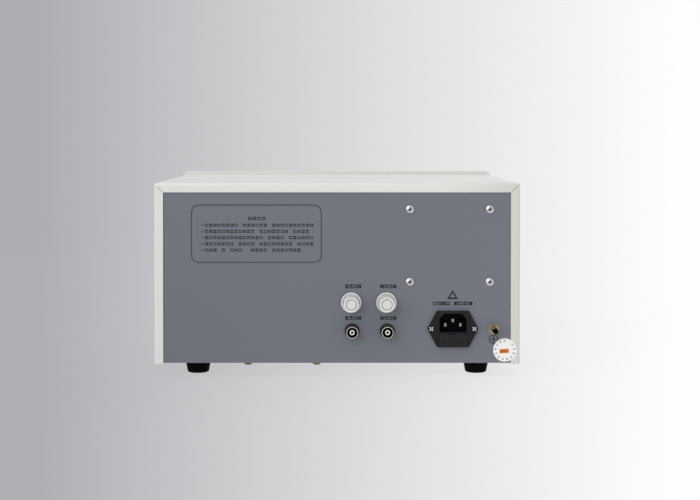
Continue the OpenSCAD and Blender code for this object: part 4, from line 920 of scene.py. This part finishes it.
# %% Stud thread
post_end = corners("earth_post")[1][1]
post_x, post_z = middle("earth_post")
stud_radius, thread_pitch, thread_rise = 2.5 * mm, 0.8 * mm, 0.16 * mm
thread_from = rear_face + 6.4 * mm
thread_turns = int((post_end - thread_from) / thread_pitch) - 1
begin()
bpy.ops.mesh.primitive_circle_add(vertices=3, radius=thread_rise, fill_type="NOTHING",
                                 rotation=(0.0, 0.0, -math.pi / 2))
thread = bpy.context.object
thread.name = "stud_thread"
thread.location.x = stud_radius
bpy.ops.object.transform_apply(location=True, rotation=True, scale=False)
climb = thread.modifiers.new("climb", "SCREW")
climb.axis = "Y"
climb.angle = 2 * math.pi
climb.screw_offset = thread_pitch
climb.iterations = thread_turns
climb.steps = 24
climb.render_steps = 24
bpy.ops.object.modifier_apply(modifier="climb")
bpy.ops.object.mode_set(mode="EDIT")
bpy.ops.mesh.select_all(action="DESELECT")
bpy.ops.mesh.select_mode(type="EDGE")
bpy.ops.mesh.select_non_manifold()
bpy.ops.mesh.fill()
bpy.ops.mesh.select_all(action="SELECT")
bpy.ops.transform.translate(value=(post_x, thread_from, post_z))
bpy.ops.mesh.normals_make_consistent(inside=False)
bpy.ops.object.mode_set(mode="OBJECT")
dress(thread, finishes["brass"])
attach(thread, "chassis")
print("thread of", thread_turns, "turns,", len(thread.data.polygons), "faces")

# %% [markdown]
# ## Painted glints in the screw recesses
# The inlet's screws are blackened. Two crossed bars of bright metal lie on the floor of each recess and paint
# a glint into the cross.

# %% Painted glints in the recesses
glint_metal = metal("glint_in_recess", screen(228, 226, 214), rough=0.3)
inlet_x, inlet_z = middle("inlet_screws")
half_pitch = 20.0 * mm
recess_floor = 2.15 * mm
# painted glint: a bright bar in the floor of each recess
cross_bar = bar(4.4 * mm, 1.1 * mm, 0.1 * mm)
crosses = []
for side in (-half_pitch, half_pitch):
    for turn in (45, 135):
        crosses.append(shift(copy_of(cross_bar), side, 0.0, math.radians(turn)))
discard((cross_bar,))
glint_in_recesses = join("glint_in_recesses", crosses)
stand(dress(glint_in_recesses, glint_metal), "rear", -inlet_x, inlet_z, recess_floor, skin=0.5 * mm)
print("recesses:", len(glint_in_recesses.data.polygons), "faces")

# %% [markdown]
# ## Seal
# A round paper seal is stuck half on the panel and half on the lip, which stands proud of it. A flat disc is
# cut along two lines with bisect, and what lies beyond them is lifted, so that the paper climbs the step.

# %% Seal paper
paper = paint("seal_paper", screen(243, 243, 240), grain=0.8 * mm, depth=0.02 * mm, rough=0.6)
seal_u, seal_v = 156.0 * mm, 24.8 * mm
case_half, lip_width = 170.0 * mm, 8.5 * mm
step_u = case_half - lip_width - seal_u
step_height = lip_face - rear_face
climb_from, climb_to = step_u - 1.6 * mm, step_u - 0.4 * mm
seal = disc(10.8 * mm, sides=72)
bpy.ops.object.mode_set(mode="EDIT")
for line in (climb_from, climb_to):
    bpy.ops.mesh.select_all(action="SELECT")
    bpy.ops.mesh.bisect(plane_co=(line, 0.0, 0.0), plane_no=(1.0, 0.0, 0.0))
bpy.ops.mesh.select_all(action="DESELECT")
bpy.ops.object.mode_set(mode="OBJECT")
for vertex in seal.data.vertices:
    vertex.select = vertex.co.x > climb_to - 0.1 * mm
bpy.ops.object.mode_set(mode="EDIT")
bpy.ops.transform.translate(value=(0.0, 0.0, step_height))
bpy.ops.object.mode_set(mode="OBJECT")
paper_lift, paper_thickness = 0.14 * mm, 0.1 * mm
stand(dress(seal, paper), "rear", seal_u, seal_v, paper_lift, skin=paper_thickness).name = "paper_seal"
print("seal of", len(seal.data.polygons), "faces")

# %% [markdown]
# ## Marks on the seal
# A ring of small blocks runs round the seal, and an orange bar with three blocks sits in the middle. Blocks
# on the lip are lifted by the height of the step, and those that would lie on the slope are left out.

# %% Seal marks
seal_ink = plastic("seal_ink", screen(52, 48, 74), rough=0.6, grain=0.8 * mm)
orange = plastic("seal_orange", screen(222, 130, 18), rough=0.55, grain=1 * mm)
seal_red = plastic("seal_red", screen(150, 52, 20), rough=0.55, grain=1 * mm)
ring_radius, ring_count = 8.7 * mm, 13
slope_from, slope_to = step_u - 2.3 * mm, step_u + 0.3 * mm
ring_lift, marks_lift = 0.2 * mm, 0.3 * mm
ring_blocks = []
for index in range(ring_count):
    angle = (index + 0.3) * 2 * math.pi / ring_count
    x = ring_radius * math.cos(angle)
    y = ring_radius * math.sin(angle)
    if slope_from < x < slope_to:
        continue
    block = print_block("abcd"[index % 4], width=2.0 * mm, height=2.2 * mm, weight=0.24)
    shift(block, x, y, angle + math.pi / 2)
    if x > step_u:
        block.location.z = step_height
        bpy.ops.object.transform_apply(location=True, rotation=False, scale=False)
    ring_blocks.append(block)
seal_ring = join("seal_ring", ring_blocks)
stand(dress(seal_ring, seal_ink), "rear", seal_u, seal_v, ring_lift)

lean = math.radians(4)
badge_x, badge_y = -0.6 * mm, -1.0 * mm
badge = shift(bar(8.8 * mm, 4.0 * mm, 0.3 * mm), badge_x, badge_y, lean)
stand(dress(badge, orange), "rear", seal_u, seal_v, ring_lift).name = "seal_bar"
seal_marks = shift(print_row("acb", pitch=2.5 * mm, height=2.3 * mm), badge_x, badge_y, lean)
stand(dress(seal_marks, seal_red), "rear", seal_u, seal_v, marks_lift).name = "seal_marks"
print("ring of", len(ring_blocks), "blocks")

# %% [markdown]
# ## Scale of the voltage knob
# The voltage knob needs a scale: a long tick for every tenth of its turn, four short ones between, and plain
# numbers. The numbers are text objects turned into meshes. A letter's outline turns into many thin triangles,
# which are dissolved into larger faces.

# %% Front scale
ink_pale = plastic("pale_ink", screen(225, 226, 224), rough=0.5, grain=0.8 * mm)
dial_u, dial_v = middle("voltage_knob")
first_angle, tick_angle, ticks_per_number = 240, 6, 5
tick_count, number_count = 51, 11
tick_radius, number_radius = 25.0 * mm, 32.5 * mm
long_tick = bar(3.6 * mm, 0.5 * mm, 0.12 * mm)
short_tick = bar(2.0 * mm, 0.5 * mm, 0.12 * mm)
ticks = []
for index in range(tick_count):
    angle = math.radians(first_angle - tick_angle * index)
    model = short_tick if index % ticks_per_number else long_tick
    radius = tick_radius + model.dimensions.x / 2
    ticks.append(shift(copy_of(model), radius * math.cos(angle), radius * math.sin(angle), angle))
discard((long_tick, short_tick))
dial_scale = join("dial_scale", ticks)
stand(dress(dial_scale, ink_pale), "front", dial_u, dial_v, ink_height)

numbers = []
for index in range(number_count):
    angle = math.radians(first_angle - tick_angle * ticks_per_number * index)
    begin()
    bpy.ops.object.text_add()
    number = bpy.context.object
    number.data.body = str(index)
    number.data.size = 5.2 * mm
    number.data.align_x = "CENTER"
    number.data.align_y = "CENTER"
    bpy.ops.object.convert(target="MESH")
    bpy.ops.object.mode_set(mode="EDIT")
    bpy.ops.mesh.select_all(action="SELECT")
    bpy.ops.mesh.dissolve_limited(angle_limit=0.01)
    bpy.ops.mesh.dissolve_degenerate(threshold=0.01 * mm)
    bpy.ops.object.mode_set(mode="OBJECT")
    number = bpy.context.object
    numbers.append(shift(number, number_radius * math.cos(angle), number_radius * math.sin(angle)))
dial_numbers = join("dial_numbers", numbers)
stand(dress(dial_numbers, ink_pale), "front", dial_u, dial_v, ink_height)
print("front scale:", len(dial_scale.data.polygons), "faces")

# %% [markdown]
# ## Labels on the front
# The front is not in the photograph, so its labels are the same mute rows, one below each control.

# %% Front labels
below_button, below_terminal = 17.0 * mm, 20.0 * mm
front_text = (
    ("start_button", "bdc", below_button),
    ("reset_button", "cab", below_button),
    ("hv_terminal", "acbd", below_terminal),
    ("return_terminal", "dbca", below_terminal),
    ("power_rocker", "dca", below_button),
)
front_rows = []
for node, text, drop in front_text:
    u, v = middle(node)
    front_rows.append(shift(print_row(text, pitch=3.6 * mm, height=3.4 * mm), u, v - drop))
front_labels = join("front_labels", front_rows)
stand(dress(front_labels, ink_pale), "front", 0.0, 0.0, ink_height)
print("front labels:", len(front_rows), "rows")

# %% [markdown]
# ## Display digits
# Seven-segment digits are bars with cut corners. The figure eight is built from copies of two bars, one that
# lies and one that stands, and three figures go on each of the three modules.

# %% Digits
segment_grey = plastic("segment_grey", screen(214, 190, 184), rough=0.5, grain=1 * mm)


def figure_eight(width, height, line):
    corner = line * 0.48
    across = bar(width - line, line, corner)
    upright = bar((height - line) / 2 - line * 0.6, line, corner)
    column = (width - line * 0.2) / 2
    parts = [shift(copy_of(across), 0.0, row * (height - line) / 2) for row in (-1, 0, 1)]
    for side in (-1, 1):
        for row in (-1, 1):
            parts.append(shift(copy_of(upright), side * column, row * (height - line) / 4, math.pi / 2))
    discard((across, upright))
    return join("figure", parts)


module_pitch, figure_pitch = 52.0 * mm, 13.0 * mm
eight = figure_eight(8.4 * mm, 15.0 * mm, 1.8 * mm)
figures = []
for module in (-1, 0, 1):
    for index in (-1, 0, 1):
        figures.append(shift(copy_of(eight), module * module_pitch + index * figure_pitch, 0.0))
discard((eight,))
display_digits = join("display_digits", figures)
modules_u, modules_v = middle("digit_modules")
modules_lift = front_face - corners("digit_modules")[0][1]
stand(dress(display_digits, segment_grey), "front", modules_u, modules_v, modules_lift + ink_height)
print("digits:", len(display_digits.data.polygons), "faces")

# %% [markdown]
# ## Switch marks
# The rocker carries a bar on the half that switches on and a ring on the other. They ride on the rocker, so
# they tip with it. At rest the lower half lies parallel to the panel and the upper half leans out.

# %% Switch marks
rocker_u = middle("power_rocker")[0]
rocker_axis_v = 58.0 * mm
rocker_lean = math.radians(20)
ring_v, ring_out = rocker_axis_v - 4.44 * mm, 2.72 * mm
bar_v, bar_out = rocker_axis_v + 3.43 * mm, 4.11 * mm
off_ring = hollow(disc(1.6 * mm, sides=28), 0.45 * mm)
stand(dress(off_ring, ink_pale), "front", rocker_u, ring_v, ring_out, body="power_key").name = "off_ring"
on_bar = bar(0.55 * mm, 3.2 * mm, 0.1 * mm)
on_bar.rotation_euler = (rocker_lean, 0.0, 0.0)
bpy.ops.object.transform_apply(location=False, rotation=True, scale=False)
stand(dress(on_bar, ink_pale), "front", rocker_u, bar_v, bar_out, body="power_key").name = "on_bar"
print("switch marks made")
